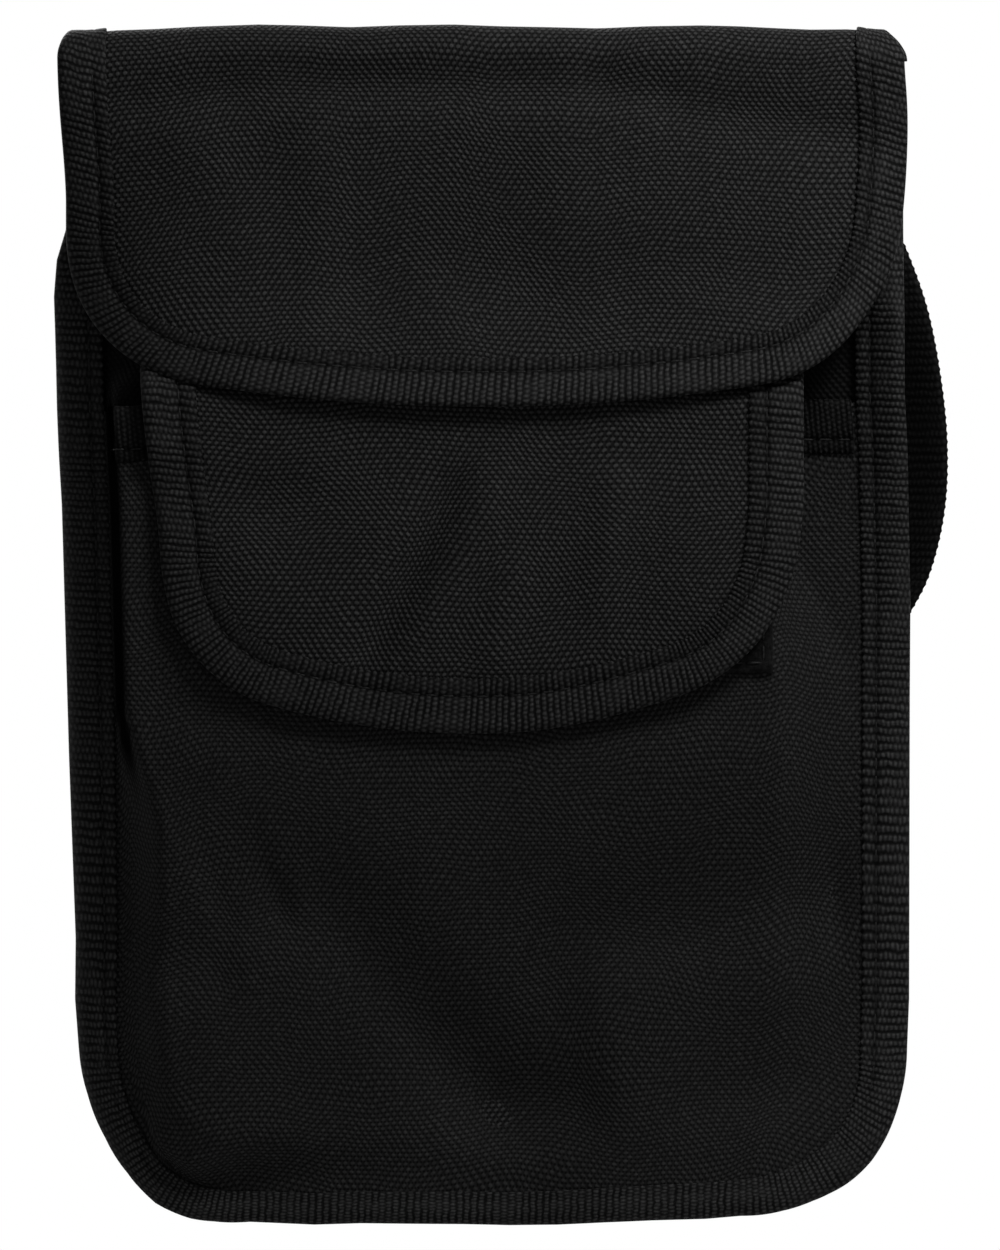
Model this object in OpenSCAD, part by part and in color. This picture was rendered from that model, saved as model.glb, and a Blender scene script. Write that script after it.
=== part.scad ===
// Neck pouch wallet: a flat sewn pouch with a wide top flap, a front pocket under a
// smaller flap, ribbed tape on every edge and a neck strap folded away behind it.
// Upright as worn: X to the wearer's left, the front faces -Y, Z up. The origin is on the
// rear face at the middle of the top, where the neck strap's two ends hold the pouch.
// "Depth" below is the distance in front of the rear face, so y = -depth.

/* [Pouch] */
// Width across the bound side seams
pouch_w = 140; // [134:1:146]
// Height from the top fold to the bottom seam
pouch_h = 197; // [192:1:204]
// Radius of the two bottom corners
corner_r = 28; // [24:1:32]
// Clear depth inside the main compartment
main_depth = 4.9; // [4.8:0.1:5.6]
// Clear depth inside the front pocket
pocket_depth = 4.9; // [4.8:0.1:5.6]
// Front pocket's mouth, below the top
pocket_mouth = 61.5; // [60:0.5:62]
// Main compartment's mouth, below the top
main_mouth = 10; // [9:0.5:12]

/* [Cloth and tape] */
// Thickness of the outer cloth
cloth_t = 0.7; // [0.5:0.1:0.8]
// Thickness of the rear panel, a double cloth
rear_t = 0.8; // [0.6:0.1:1]
// Thickness of the flaps' lining
lining_t = 0.5; // [0.4:0.1:0.6]
// Thickness of the binding tape
tape_t = 0.5; // [0.4:0.1:0.6]
// Width of each leg of the binding tape
tape_w = 8; // [7:0.5:8.5]
// Width of the tape legs on the two mouths
mouth_tape_w = 9; // [7:0.5:9]

/* [Flaps] */
// Main flap's lower edge, below the top
main_flap_h = 62.5; // [61:0.5:63]
// Radius of the main flap's lower corners
main_flap_corner = 27; // [24:1:30]
// Radius of the main flap's shallow lower edge
main_flap_sweep = 300; // [250:10:400]
// Width of the pocket flap
pocket_flap_w = 109; // [104:1:112]
// Pocket flap's lower edge, below the top
pocket_flap_h = 116; // [114:1:120]
// Radius of the pocket flap's lower corners
pocket_flap_corner = 26; // [24:1:28]
// Radius of the pocket flap's lower edge
pocket_flap_sweep = 130; // [120:5:160]
// Sideways place of the pocket flap's centre
pocket_flap_x = -1.9; // [-3:0.1:1]
// Line where the pocket flap bends, below the top
pocket_bend = 66; // [66:0.5:68]

/* [Hook and loop] */
// Thickness of each hook or loop strip
strip_t = 1.2; // [1:0.1:1.4]
// Width of the loop strips
loop_w = 94; // [88:1:96]
// Width of the pocket flap's hook strip
pocket_hook_w = 66; // [60:1:66]
// Height of the main strips
main_strip_h = 18; // [14:1:18]
// Height of the pocket strips
pocket_strip_h = 20; // [16:1:20]

/* [Neck strap] */
// Width of the webbing
strap_w = 20; // [18:1:20]
// Thickness of the webbing
strap_t = 1.2; // [1:0.1:1.3]
// Sideways step from one fold of the hank to the next
hank_pitch = 14; // [13.5:0.5:14.5]
// Upper folds of the hank, below the top
hank_top = 74; // [72:1:80]
// Lower folds of the hank, below the top
hank_bottom = 166; // [160:1:168]
// How far the tie draws the hank in, as a share of its width
waist_draw = 0.15; // [0.13:0.01:0.16]
// Width of the tie
tie_w = 10; // [8:1:14]

/* [Hidden] */

cloth_colour = [0.10, 0.10, 0.10];
tape_colour = [0.13, 0.13, 0.13];
strip_colour = [0.07, 0.07, 0.07];
strap_colour = [0.08, 0.08, 0.08];
plastic_colour = [0.05, 0.05, 0.05];

// Air between layers that are sewn together, and between pieces that move apart
sew_gap = 0.05;
play = 0.3;

// Layers from the rear face forwards
half_w = pouch_w / 2;
floor_z = -pouch_h;
layer_inset = tape_t + sew_gap;
front_seam = rear_t + sew_gap;
front_flat = rear_t + main_depth;
front_face = front_flat + cloth_t;
pocket_seam = front_seam + cloth_t + sew_gap;
pocket_flat = front_face + pocket_depth;
pocket_face = pocket_flat + cloth_t;
seam_face = pocket_seam + cloth_t;

// The panels leave the seam beside the tape and reach their full depth over this run
swell_start = tape_w + 1.5;
swell_run = 15;

// Main flap: strips, lining and cloth, from the inside out, on its straight upper part
main_strip_z = main_mouth + mouth_tape_w + main_strip_h / 2;
main_loop_d = front_face + sew_gap;
main_hook_d = main_loop_d + strip_t + play;
main_lining_d = main_hook_d + strip_t + sew_gap;
main_cloth_d = main_lining_d + lining_t + sew_gap;
fold_r = (main_cloth_d + cloth_t) / 2;
// The flap then bends and leans out over the pocket flap's head, down to its lower edge
main_flare = 7.2;
main_flare_z = main_strip_z + main_strip_h / 2;
main_bend_run = 10;
main_slope = main_flare / (main_flap_h - main_flare_z - main_bend_run / 2);

// Pocket flap: the same layers over the front pocket, leaning back to the bend line
pocket_strip_z = 96;
pocket_loop_d = pocket_face + sew_gap;
pocket_hook_d = pocket_loop_d + strip_t + play;
pocket_lining_d = pocket_hook_d + strip_t + sew_gap;
pocket_cloth_d = pocket_lining_d + lining_t + sew_gap;
pocket_lean = 1.4;
pocket_lean_run = pocket_strip_z - pocket_strip_h / 2 - pocket_bend;
// The head: up over the pocket's mouth, back to the front panel, and sewn down there
head_top_d = pocket_lining_d - pocket_lean;
head_over_z = pocket_mouth - 1.3;
head_seam_z = pocket_mouth - 10.5;
head_end_z = head_seam_z - 5;
head_thick = lining_t + sew_gap + cloth_t;

// Shared shapes

// Smooth step from 0 to 1
function ease(t) = let (c = max(0, min(1, t))) c * c * (3 - 2 * c);

// Points of an arc about a centre
function arc(centre, r, from, to, steps) =
    [for (i = [0:steps]) let (a = from + (to - from) * i / steps) centre + r * [cos(a), sin(a)]];

// A closed skin through rings of points. Each ring runs out along one side of the section and
// back along the other, so its end caps are ladders between the two sides.
module skin(rings) {
    m = len(rings[0]);
    n = len(rings);
    points = [for (ring = rings) each ring];
    sides = [
        for (i = [0:n - 2], j = [0:m - 1])
            let (a = i * m + j, b = i * m + (j + 1) % m)
                each [[a, b, b + m], [a, b + m, a + m]]
    ];
    last = (n - 1) * m;
    caps = [
        for (j = [0:m / 2 - 2])
            let (k = m - 1 - j)
                each [
                    [j, k - 1, j + 1], [j, k, k - 1],
                    [last + j, last + j + 1, last + k - 1], [last + j, last + k - 1, last + k]
                ]
    ];
    polyhedron(points, concat(sides, caps));
}

// Pouch outline, top left to top right, moved in by inset
function body_outline(inset, top) =
    let (r = corner_r - inset, cx = half_w - corner_r, cz = floor_z + corner_r)
        concat(
            [[-cx - r, top]],
            arc([-cx, cz], r, 180, 270, 8),
            arc([cx, cz], r, 270, 360, 8),
            [[cx + r, top]]
        );

// How far a point lies inside the pouch's side and bottom seams
function inside(x, z) =
    let (qx = abs(x) - (half_w - corner_r), qz = floor_z + corner_r - z)
        corner_r - norm([max(qx, 0), max(qz, 0)]) - min(max(qx, qz), 0);

// Share of its full depth that a front panel has at a point
function swell(x, z) = ease((inside(x, z) - swell_start) / swell_run);

// Half width of a panel's row, inside the tape
function row_half(z) =
    let (r = corner_r - layer_inset, below = floor_z + corner_r - z)
        below <= 0 ? half_w - layer_inset : half_w - corner_r + sqrt(max(0, r * r - below * below));

// Columns across a row: close together beside the seams, wide over the flat middle
edge_steps = [0, tape_w, 11.5, 14.5, 18, 21, 24.5];
function columns(half) =
    let (side = [for (s = edge_steps) max(half - s, 0.2 * half * (1 - s / 60))])
        concat([for (x = side) -x], [0], [for (i = [len(side) - 1:-1:0]) side[i]]);

// Rows of a front panel, from its mouth to the bottom seam
seam_rows = [28, 24.5, 20, 16, 12.5, 9.5, 6.5, 3.5, 1.6, layer_inset];
function panel_rows(mouth) =
    concat([-mouth, -mouth - mouth_tape_w, -(mouth + pouch_h) / 2], [for (s = seam_rows) floor_z + s]);

// A front panel: one cloth that stands off the seam by a smooth swell
module swelled_panel(mouth, seam_d, flat_d) {
    skin([
        for (z = panel_rows(mouth))
            let (xs = columns(row_half(z)))
                concat(
                    [for (x = xs) [x, -seam_d - cloth_t - (flat_d - seam_d) * swell(x, z), z]],
                    [for (i = [len(xs) - 1:-1:0]) [xs[i], -seam_d - (flat_d - seam_d) * swell(xs[i], z), z]]
                )
    ]);
}

// Tape folded over a panel's mouth: an outer leg, a rim and an inner leg, which follow the swell
module mouth_binding(mouth, seam_d, flat_d) {
    reach = half_w - tape_w - 0.6;
    top = -mouth + layer_inset;
    low = -mouth - mouth_tape_w + 1;
    gap = sew_gap;
    skin([
        for (x = [for (c = columns(row_half(-mouth))) if (abs(c) <= reach) c])
            let (inner = seam_d + (flat_d - seam_d) * swell(x, -mouth), outer = inner + cloth_t)
                [
                    [x, -outer - gap - tape_t, low], [x, -outer - gap - tape_t, top],
                    [x, -inner + gap + tape_t, top], [x, -inner + gap + tape_t, low],
                    [x, -inner + gap, low], [x, -inner + gap, top - tape_t],
                    [x, -outer - gap, top - tape_t], [x, -outer - gap, low]
                ]
    ]);
}

// Flap outline: straight sides, round corners and a shallow lower edge that runs into them
flap_corner_steps = 16;
function flap_outline(half, r, sweep, low, inset, top, side_steps) =
    let (
        cx = half - r,
        sweep_z = sweep - low,
        cz = sweep_z - sqrt((sweep - r) * (sweep - r) - cx * cx),
        lean = asin(cx / (sweep - r)),
        side = [for (i = [0:side_steps - 1]) -top + (cz + top) * i / side_steps]
    )
        concat(
            [for (z = side) [-half + inset, z]],
            arc([-cx, cz], r - inset, 180, 270 - lean, flap_corner_steps),
            [for (p = arc([0, sweep_z], sweep - inset, 270 - lean, 270 + lean, 8)) if (abs(p[0]) < cx) p],
            arc([cx, cz], r - inset, 270 + lean, 360, flap_corner_steps),
            [for (i = [side_steps - 1:-1:0]) [half - inset, side[i]]]
        );

function main_outline(inset) =
    flap_outline(half_w, main_flap_corner, main_flap_sweep, main_flap_h, inset, fold_r, 6);
function pocket_outline(inset) =
    flap_outline(
        pocket_flap_w / 2, pocket_flap_corner, pocket_flap_sweep, pocket_flap_h, inset, pocket_bend, 4
    );

// How far each flap stands off its straight part, by height
function main_stand(z) =
    let (s = max(0, -z - main_flare_z))
        main_slope * (s < main_bend_run ? s * s / (2 * main_bend_run) : s - main_bend_run / 2);
function pocket_stand(z) = -pocket_lean * (1 - ease((-z - pocket_bend) / pocket_lean_run));

// One cloth of a flap, from depth d forwards, with the flap's lean
module main_sheet(d, t) {
    flap_sheet([for (p = main_outline(layer_inset)) [p[0], p[1], main_stand(p[1])]], d, t);
}
module pocket_sheet(d, t) {
    flap_sheet([for (p = pocket_outline(layer_inset)) [p[0], p[1], pocket_stand(p[1])]], d, t);
}

// Rows of a symmetric flap: each pairs a point of the left edge with its mirror image
module flap_sheet(edge, d, t) {
    rows = [for (p = edge) if (p[0] < -0.5) p];
    skin([
        for (p = rows)
            [
                [p[0], -d - t - p[2], p[1]], [-p[0], -d - t - p[2], p[1]],
                [-p[0], -d - p[2], p[1]], [p[0], -d - p[2], p[1]]
            ]
    ]);
}

// Tape folded over an edge: edges holds the outline at the rim, inside the rim and at the selvedge
module folded_tape(edges, stands, back_d, face_d) {
    levels = [
        [2, face_d + tape_t], [0, face_d + tape_t], [0, back_d - tape_t], [2, back_d - tape_t],
        [2, back_d], [1, back_d], [1, face_d], [2, face_d]
    ];
    skin([
        for (k = [0:len(edges[0]) - 1])
            [
                for (level = levels)
                    let (p = edges[level[0]][k]) [p[0], -level[1] - stands[level[0]][k], p[1]]
            ]
    ]);
}

// Flat strip with its back at depth d, centred at a height below the top
module strip(w, h, z, d) {
    translate([-w / 2, -d - strip_t, -z - h / 2])
        cube([w, strip_t, h]);
}

// Body

module rear_panel() {
    color(cloth_colour)
        rotate([90, 0, 0])
            linear_extrude(rear_t)
                polygon(body_outline(layer_inset, -fold_r));
}

module front_panel() {
    color(cloth_colour)
        swelled_panel(main_mouth, front_seam, front_flat);
}

module front_pocket_panel() {
    color(cloth_colour)
        swelled_panel(pocket_mouth, pocket_seam, pocket_flat);
}

module body_binding() {
    edges = [for (inset = [0, tape_t, tape_w]) body_outline(inset, -fold_r)];
    flat = [for (e = edges) [for (p = e) 0]];
    color(tape_colour)
        folded_tape(edges, flat, -sew_gap, seam_face + sew_gap);
}

module main_mouth_binding() {
    color(tape_colour)
        mouth_binding(main_mouth, front_seam, front_flat);
}

module pocket_mouth_binding() {
    color(tape_colour)
        mouth_binding(pocket_mouth, pocket_seam, pocket_flat);
}

module main_loop_strip() {
    color(strip_colour)
        strip(loop_w, main_strip_h - 1, main_strip_z, main_loop_d);
}

module pocket_loop_strip() {
    color(strip_colour)
        strip(loop_w, pocket_strip_h, pocket_strip_z, pocket_loop_d);
}

// Cloth and lining that turn over the top, from the rear panel to the flap
module main_flap_fold() {
    color(cloth_colour)
        translate([0, -fold_r, -fold_r])
            rotate([0, 90, 0])
                difference() {
                    cylinder(h = pouch_w - 2 * layer_inset, r = fold_r, center = true);
                    cylinder(h = pouch_w, r = fold_r - head_thick, center = true);
                    translate([0, -pouch_w / 2, -pouch_w / 2])
                        cube(pouch_w);
                }
}

// Top of the pocket flap: over the pocket's mouth, back to the front panel and down along it
module pocket_flap_head() {
    profile = [
        [-pocket_bend, head_top_d], [-head_over_z, head_top_d],
        [-head_seam_z, front_face + sew_gap], [-head_end_z, front_face + sew_gap]
    ];
    half = pocket_flap_w / 2 - layer_inset;
    color(cloth_colour)
        translate([pocket_flap_x - half, 0, 0])
            rotate([90, 0, 90])
                linear_extrude(2 * half)
                    polygon(concat(
                        [for (p = profile) [-p[1], p[0]]],
                        [for (i = [len(profile) - 1:-1:0]) [-profile[i][1] - head_thick, profile[i][0]]]
                    ));
}

// Main flap

module main_flap_outer() {
    color(cloth_colour)
        main_sheet(main_cloth_d, cloth_t);
}

module main_flap_lining() {
    color(cloth_colour)
        main_sheet(main_lining_d, lining_t);
}

module main_flap_binding() {
    edges = [for (inset = [0, tape_t, tape_w]) main_outline(inset)];
    stands = [for (e = edges) [for (p = e) main_stand(p[1])]];
    color(tape_colour)
        folded_tape(edges, stands, main_lining_d - sew_gap, main_cloth_d + cloth_t + sew_gap);
}

module main_hook_strip() {
    color(strip_colour)
        strip(loop_w - 2, main_strip_h - 1, main_strip_z, main_hook_d);
}

// Pocket flap

module pocket_flap_outer() {
    color(cloth_colour)
        translate([pocket_flap_x, 0, 0])
            pocket_sheet(pocket_cloth_d, cloth_t);
}

module pocket_flap_lining() {
    color(cloth_colour)
        translate([pocket_flap_x, 0, 0])
            pocket_sheet(pocket_lining_d, lining_t);
}

module pocket_flap_binding() {
    edges = [for (inset = [0, tape_t, tape_w]) pocket_outline(inset)];
    stands = [for (e = edges) [for (p = e) pocket_stand(p[1])]];
    color(tape_colour)
        translate([pocket_flap_x, 0, 0])
            folded_tape(edges, stands, pocket_lining_d - sew_gap, pocket_cloth_d + cloth_t + sew_gap);
}

module pocket_hook_strip() {
    color(strip_colour)
        translate([pocket_flap_x, 0, 0])
            strip(pocket_hook_w, pocket_strip_h - 6, pocket_strip_z, pocket_hook_d);
}

// Neck strap

// The hank: flat webbing laid to and fro in two layers, drawn in at the tie
hank_y = 5;
hank_runs = 6;
fold_radius = 2.6;
layer_step = 0.95;
spread_run = 26;
run_steps = 8;
fold_steps = 6;
first_fold_x = 46;
tie_z = 120;

function fold_x(i) = first_fold_x - hank_pitch * i;
function hank_middle(z) = exp(-pow((z + tie_z) / 24, 2));
function drawn(x, z) = x * (1 - waist_draw * hank_middle(z));
function layer_y(z) =
    let (end = min(abs(z + hank_top), abs(z + hank_bottom)))
        layer_step + (fold_radius - layer_step) * (1 - ease(end / spread_run));

// Run i climbs when i is odd and comes down when it is even, from fold i - 1 to fold i
function hank_run(i) =
    let (climbs = i % 2 == 1, from = climbs ? -hank_bottom : -hank_top, to = climbs ? -hank_top : -hank_bottom)
        [
            for (k = [1:run_steps - 1])
                let (z = from + (to - from) * k / run_steps, x = fold_x(i - 1) + (fold_x(i) - fold_x(i - 1)) * k / run_steps)
                    [drawn(x, z), hank_y + (climbs ? 1 : -1) * layer_y(z), z, 0]
        ];
// Fold i turns the webbing back, at the bottom when i is even and at the top when it is odd
function hank_fold(i) =
    let (low = i % 2 == 0, end = low ? -hank_bottom : -hank_top, side = low ? -1 : 1)
        [
            for (k = [0:fold_steps])
                let (a = 180 * k / fold_steps)
                    [fold_x(i), hank_y + side * fold_radius * cos(a), end + side * fold_radius * sin(a), 0]
        ];
hank_route = concat(
    hank_fold(0),
    [for (i = [1:hank_runs]) each concat(hank_run(i), hank_fold(i))]
);

// Right end: sewn up the rear face, over on itself and down, bowing out past the right seam.
// Each point has the webbing's turn about its own length in degrees, front edge outwards.
right_route = [
    [52, 0.65, -34, 0], [52, 0.65, -26, 0], [52, 0.7, -18, 0], [52.2, 1.5, -14.8, 0], [52.5, 3.4, -13, 0],
    [53, 5.4, -14.8, 0], [53.5, 6.4, -18.5, 0], [56, 7, -27, 8], [60.2, 7.3, -36, 20], [64, 7.5, -46, 30],
    [66.8, 7.6, -57, 36], [68.3, 7.6, -68, 38], [67.9, 7.5, -79, 36], [65.2, 7.2, -90, 28],
    [60.6, 6.6, -101, 16], [57.8, 5.6, -112, 6], [56.4, 4.6, -122, 0], [54, 4, -133, 0],
    [50.6, 3.4, -146, 0], [47.4, 2.7, -157, 0]
];

// Left end: up from the hank, under the tab, over its edge and down again as the tail
left_x = -49;
left_route = [
    [-40, 7, -156, 0], [-43.5, 6.2, -145, 0], [-47, 5.5, -134, 0], [left_x, 4.4, -122, 0],
    [left_x, 3.6, -108, 0], [left_x, 3.6, -90, 0], [left_x, 3.6, -72, 0], [left_x, 3.6, -54, 0],
    [left_x, 3.6, -40, 0], [left_x, 2.5, -34, 0], [left_x, 1.5, -29, 0], [left_x, 1.4, -22, 0],
    [left_x, 1.4, -15.2, 0], [left_x, 1.9, -14, 0], [left_x, 3, -13.5, 0], [left_x, 4.1, -14, 0],
    [left_x, 4.6, -15.2, 0], [left_x, 4.6, -22, 0], [left_x, 4.7, -29, 0], [left_x, 5.2, -36, 0],
    [left_x, 5.3, -48, 0], [left_x, 5.3, -62, 0], [left_x, 5.3, -78, 0], [left_x, 5.3, -94, 0]
];

strap_route = concat(right_route, hank_route, left_route);
hank_from = len(right_route);
hank_to = hank_from + len(hank_route) - 1;
last_ring = len(strap_route) - 1;

function place(i) = let (p = strap_route[i]) [p[0], p[1], p[2]];
function along(i) =
    let (step = place(min(i + 1, last_ring)) - place(max(i - 1, 0))) step / norm(step);

// Six-sided section of the webbing at ring i: two flat faces and two thin selvedges
selvedge = 0.8;
function webbing_ring(i) =
    let (
        turn = strap_route[i][3],
        across = [cos(turn), -sin(turn), 0],
        out = cross(along(i), across),
        up = out / norm(out) * strap_t / 2,
        wide = across * strap_w / 2,
        flat = across * (strap_w / 2 - selvedge),
        c = place(i)
    )
        [c + wide, c + flat + up, c - flat + up, c - wide, c - flat - up, c + flat - up];

module webbing(from, to) {
    color(strap_colour)
        skin([for (i = [from:to]) webbing_ring(i)]);
}

// Least gap between two rings of the hank that lie beside or on each other
function ring_gap(a, b) =
    let (dx = abs(a[0] - b[0]) - strap_w, dy = abs(a[1] - b[1]) - strap_t)
        dx < 0 ? dy : norm([dx, max(dy, 0)]);
hank_gaps = [
    for (i = [0:len(hank_route) - 1], j = [i + fold_steps + 1:len(hank_route) - 1])
        if (j < len(hank_route) && abs(hank_route[i][2] - hank_route[j][2]) < 6)
            ring_gap(hank_route[i], hank_route[j])
];
hank_least_gap = min(hank_gaps);
hank_length = let (steps = [for (i = [0:last_ring - 1]) norm(place(i + 1) - place(i))])
    steps * [for (s = steps) 1];
echo(hank_least_gap = hank_least_gap, strap_length = hank_length);

module neck_strap_right() {
    webbing(0, hank_from);
}

module neck_strap_hank() {
    webbing(hank_from, hank_to);
}

module neck_strap_left() {
    webbing(hank_to, last_ring);
}

// Band round the hank's waist
tie_left = -37.2;
tie_right = 43.9;
tie_inner_y = 1.6;
tie_outer_y = 8;
tie_t = 0.8;

module strap_tie() {
    outer = [tie_right - tie_left + 2 * tie_t, tie_outer_y - tie_inner_y + 2 * tie_t, tie_w];
    color(strap_colour)
        translate([tie_left - tie_t, tie_inner_y - tie_t, -tie_z - tie_w / 2])
            difference() {
                cube(outer);
                translate([tie_t, tie_t, -1])
                    cube([outer[0] - 2 * tie_t, outer[1] - 2 * tie_t, tie_w + 2]);
            }
}

// Tab across the strap at the top left corner, sewn down beside the seam's tape and on the panel
tab_top = 16;
tab_h = 12;
tab_t = 1.2;
tab_under = 2.3;
tab_reach = 10.6;
tab_seam_foot = 12.9;
tab_panel_foot = 16;

module strap_loop_tab() {
    section = [
        [-tab_seam_foot, sew_gap], [-tab_reach - 1.2, sew_gap], [-tab_reach, tab_under], [tab_reach, tab_under],
        [tab_reach + 1.2, sew_gap], [tab_panel_foot, sew_gap], [tab_panel_foot, tab_t], [tab_reach + 2, tab_t],
        [tab_reach + 0.6, tab_under + tab_t], [-tab_reach - 0.6, tab_under + tab_t],
        [-tab_reach - 2, tab_t], [-tab_seam_foot, tab_t]
    ];
    color(strap_colour)
        translate([left_x, 0, -tab_top - tab_h])
            linear_extrude(tab_h)
                polygon(section);
}

// Slide on the doubled strap: two end bars under it, one middle bar over it, and two rails
slider_z = 80;
slider_len = 20;
slider_clear = 0.5;
rail_w = 2.2;
bar_d = 1.5;
bar_under_y = 2;
bar_over_y = 7;

module strap_slider() {
    rail_x = strap_w / 2 + slider_clear;
    color(plastic_colour)
        translate([left_x, 0, -slider_z])
            union() {
                for (side = [-1, 1])
                    hull()
                        for (end = [-1, 1])
                            translate([side * (rail_x + rail_w / 2), bar_under_y, end * (slider_len / 2 - bar_d / 2)])
                                rotate([0, 90, 0])
                                    cylinder(h = rail_w, d = bar_d, center = true);
                for (side = [-1, 1])
                    translate([side * (rail_x + rail_w / 2), (bar_under_y + bar_over_y) / 2, 0])
                        cube([rail_w, bar_over_y - bar_under_y + bar_d, slider_len / 3], center = true);
                for (end = [-1, 1])
                    translate([0, bar_under_y, end * (slider_len / 2 - bar_d / 2)])
                        rotate([0, 90, 0])
                            cylinder(h = 2 * rail_x + rail_w, d = bar_d, center = true);
                translate([0, bar_over_y, 0])
                    rotate([0, 90, 0])
                        cylinder(h = 2 * rail_x + rail_w, d = bar_d, center = true);
            }
}

rear_panel();
front_panel();
front_pocket_panel();
body_binding();
main_mouth_binding();
pocket_mouth_binding();
main_loop_strip();
pocket_loop_strip();
main_flap_fold();
pocket_flap_head();
main_flap_outer();
main_flap_lining();
main_flap_binding();
main_hook_strip();
pocket_flap_outer();
pocket_flap_lining();
pocket_flap_binding();
pocket_hook_strip();
neck_strap_right();
neck_strap_hank();
neck_strap_left();
strap_tie();
strap_loop_tab();
strap_slider();
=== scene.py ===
"""Dresses the neck pouch wallet: woven cloth, ribbed binding tape, hook and loop strips and a webbing strap.

Shapes are worked out in millimetres on the flat pattern of each piece, then laid where the frame has them.
In a pattern x runs across the pouch, v up along the cloth and q out of the cloth's outer face.
"""

import logging
import math
from collections.abc import Callable, Iterator, Mapping, Sequence
from dataclasses import dataclass
from enum import Enum
from functools import reduce
from types import MappingProxyType

import bmesh
import bpy
import numpy as np
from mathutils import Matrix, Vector
from numpy.typing import NDArray

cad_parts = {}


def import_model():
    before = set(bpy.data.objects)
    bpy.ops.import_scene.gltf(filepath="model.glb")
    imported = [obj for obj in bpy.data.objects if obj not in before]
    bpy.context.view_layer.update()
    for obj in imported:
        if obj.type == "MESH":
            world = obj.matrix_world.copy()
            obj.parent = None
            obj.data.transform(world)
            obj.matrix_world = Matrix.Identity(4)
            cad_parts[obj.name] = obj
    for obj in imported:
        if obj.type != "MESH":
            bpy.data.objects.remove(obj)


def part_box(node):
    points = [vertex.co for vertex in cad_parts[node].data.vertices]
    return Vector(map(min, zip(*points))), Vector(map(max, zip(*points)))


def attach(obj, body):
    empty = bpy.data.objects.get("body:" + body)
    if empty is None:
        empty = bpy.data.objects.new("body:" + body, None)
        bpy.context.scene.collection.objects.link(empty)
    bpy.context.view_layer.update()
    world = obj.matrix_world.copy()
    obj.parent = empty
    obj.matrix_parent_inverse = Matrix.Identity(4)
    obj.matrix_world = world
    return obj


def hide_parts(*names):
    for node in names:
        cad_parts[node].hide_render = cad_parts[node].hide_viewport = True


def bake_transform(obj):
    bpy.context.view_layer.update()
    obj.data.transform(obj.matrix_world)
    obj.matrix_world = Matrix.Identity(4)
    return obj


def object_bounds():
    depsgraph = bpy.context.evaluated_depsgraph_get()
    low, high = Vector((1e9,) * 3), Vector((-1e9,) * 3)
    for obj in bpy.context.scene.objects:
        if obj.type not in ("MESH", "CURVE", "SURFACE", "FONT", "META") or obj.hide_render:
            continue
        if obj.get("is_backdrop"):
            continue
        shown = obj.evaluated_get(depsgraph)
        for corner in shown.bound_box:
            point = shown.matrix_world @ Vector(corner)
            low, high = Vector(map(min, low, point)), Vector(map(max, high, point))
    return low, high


LOG = logging.getLogger("neck_pouch")
MM = 0.001
SEED = 7
EDGE_STEP = 1.0
TAPED_INSET = 0.55
LAYER_GAP = 0.05
THREAD_PULL = 1.3
WOVEN_ROUGHNESS = 0.6
WOVEN_GLOSS = 0.02
PRESSED_RELIEF = 0.15

Numbers = NDArray[np.float64]
Place = Callable[[Numbers, Numbers, Numbers], Numbers]
Level = Callable[[Numbers, Numbers], Numbers]
Threads = Callable[[Numbers, Numbers], tuple[Numbers, Numbers]]
Row = Callable[[Numbers, float], Numbers]
Seam = tuple[Row, float]
RoutePoint = tuple[float, float, float, float]
Table = tuple[tuple[float, float], ...]


class Body(Enum):
    """The frame's bodies that pieces ride on."""

    POUCH = "pouch"
    MAIN_FLAP = "main_flap"
    POCKET_FLAP = "pocket_flap"


class Slot(Enum):
    """The record's material slots, which no piece is given here."""

    CLOTH = "cloth"
    LINING = "lining"
    TAPE = "binding_tape"
    HOOK = "hook_tape"
    LOOP = "loop_tape"
    WEBBING = "webbing"


@dataclass(frozen=True)
class Bend:
    """The bodies on both sides of a flap's bend, and where the bend starts and ends, both points in metres.
    """

    still: Body
    moving: Body
    start: tuple[float, float, float]
    end: tuple[float, float, float]


def ease(t: Numbers | float) -> Numbers:
    """Smooth step from 0 to 1."""
    c = np.clip(t, 0.0, 1.0)
    return c * c * (3 - 2 * c)


def ramp(value: Numbers | float, start: Numbers | float, run: Numbers | float) -> Numbers:
    """Smooth step that begins at start and takes run to reach 1."""
    return ease((value - start) / run)


def bell(value: Numbers, middle: float, reach: float) -> Numbers:
    """Soft peak of height 1 about a middle."""
    return np.exp(-(((value - middle) / reach) ** 2))


def spaced(first: float, last: float, step: float) -> Numbers:
    """Even values from first to last, about step apart."""
    return np.linspace(first, last, max(2, round(abs(last - first) / step) + 1))


def read(table: Table, at: Numbers) -> Numbers:
    """Values between the rows of a table of places and values."""
    return np.interp(at, [row[0] for row in table], [row[1] for row in table])


def unit(vectors: Numbers) -> Numbers:
    """Vectors of length one along the last axis."""
    return vectors / np.maximum(np.linalg.norm(vectors, axis=-1, keepdims=True), 1e-12)


def run_along(points: Numbers) -> Numbers:
    """Distance along a line of points, at each of them."""
    return np.concatenate([[0.0], np.cumsum(np.linalg.norm(np.diff(points, axis=0), axis=1))])


def box_mm(node: str) -> tuple[Vector, Vector]:
    """Lowest and highest corner of a frame node in millimetres."""
    low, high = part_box(node)
    return low / MM, high / MM


def even(value: float) -> Level:
    """A level that is the same all over the pattern."""
    return lambda x, v: np.full_like(x, value)


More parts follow.
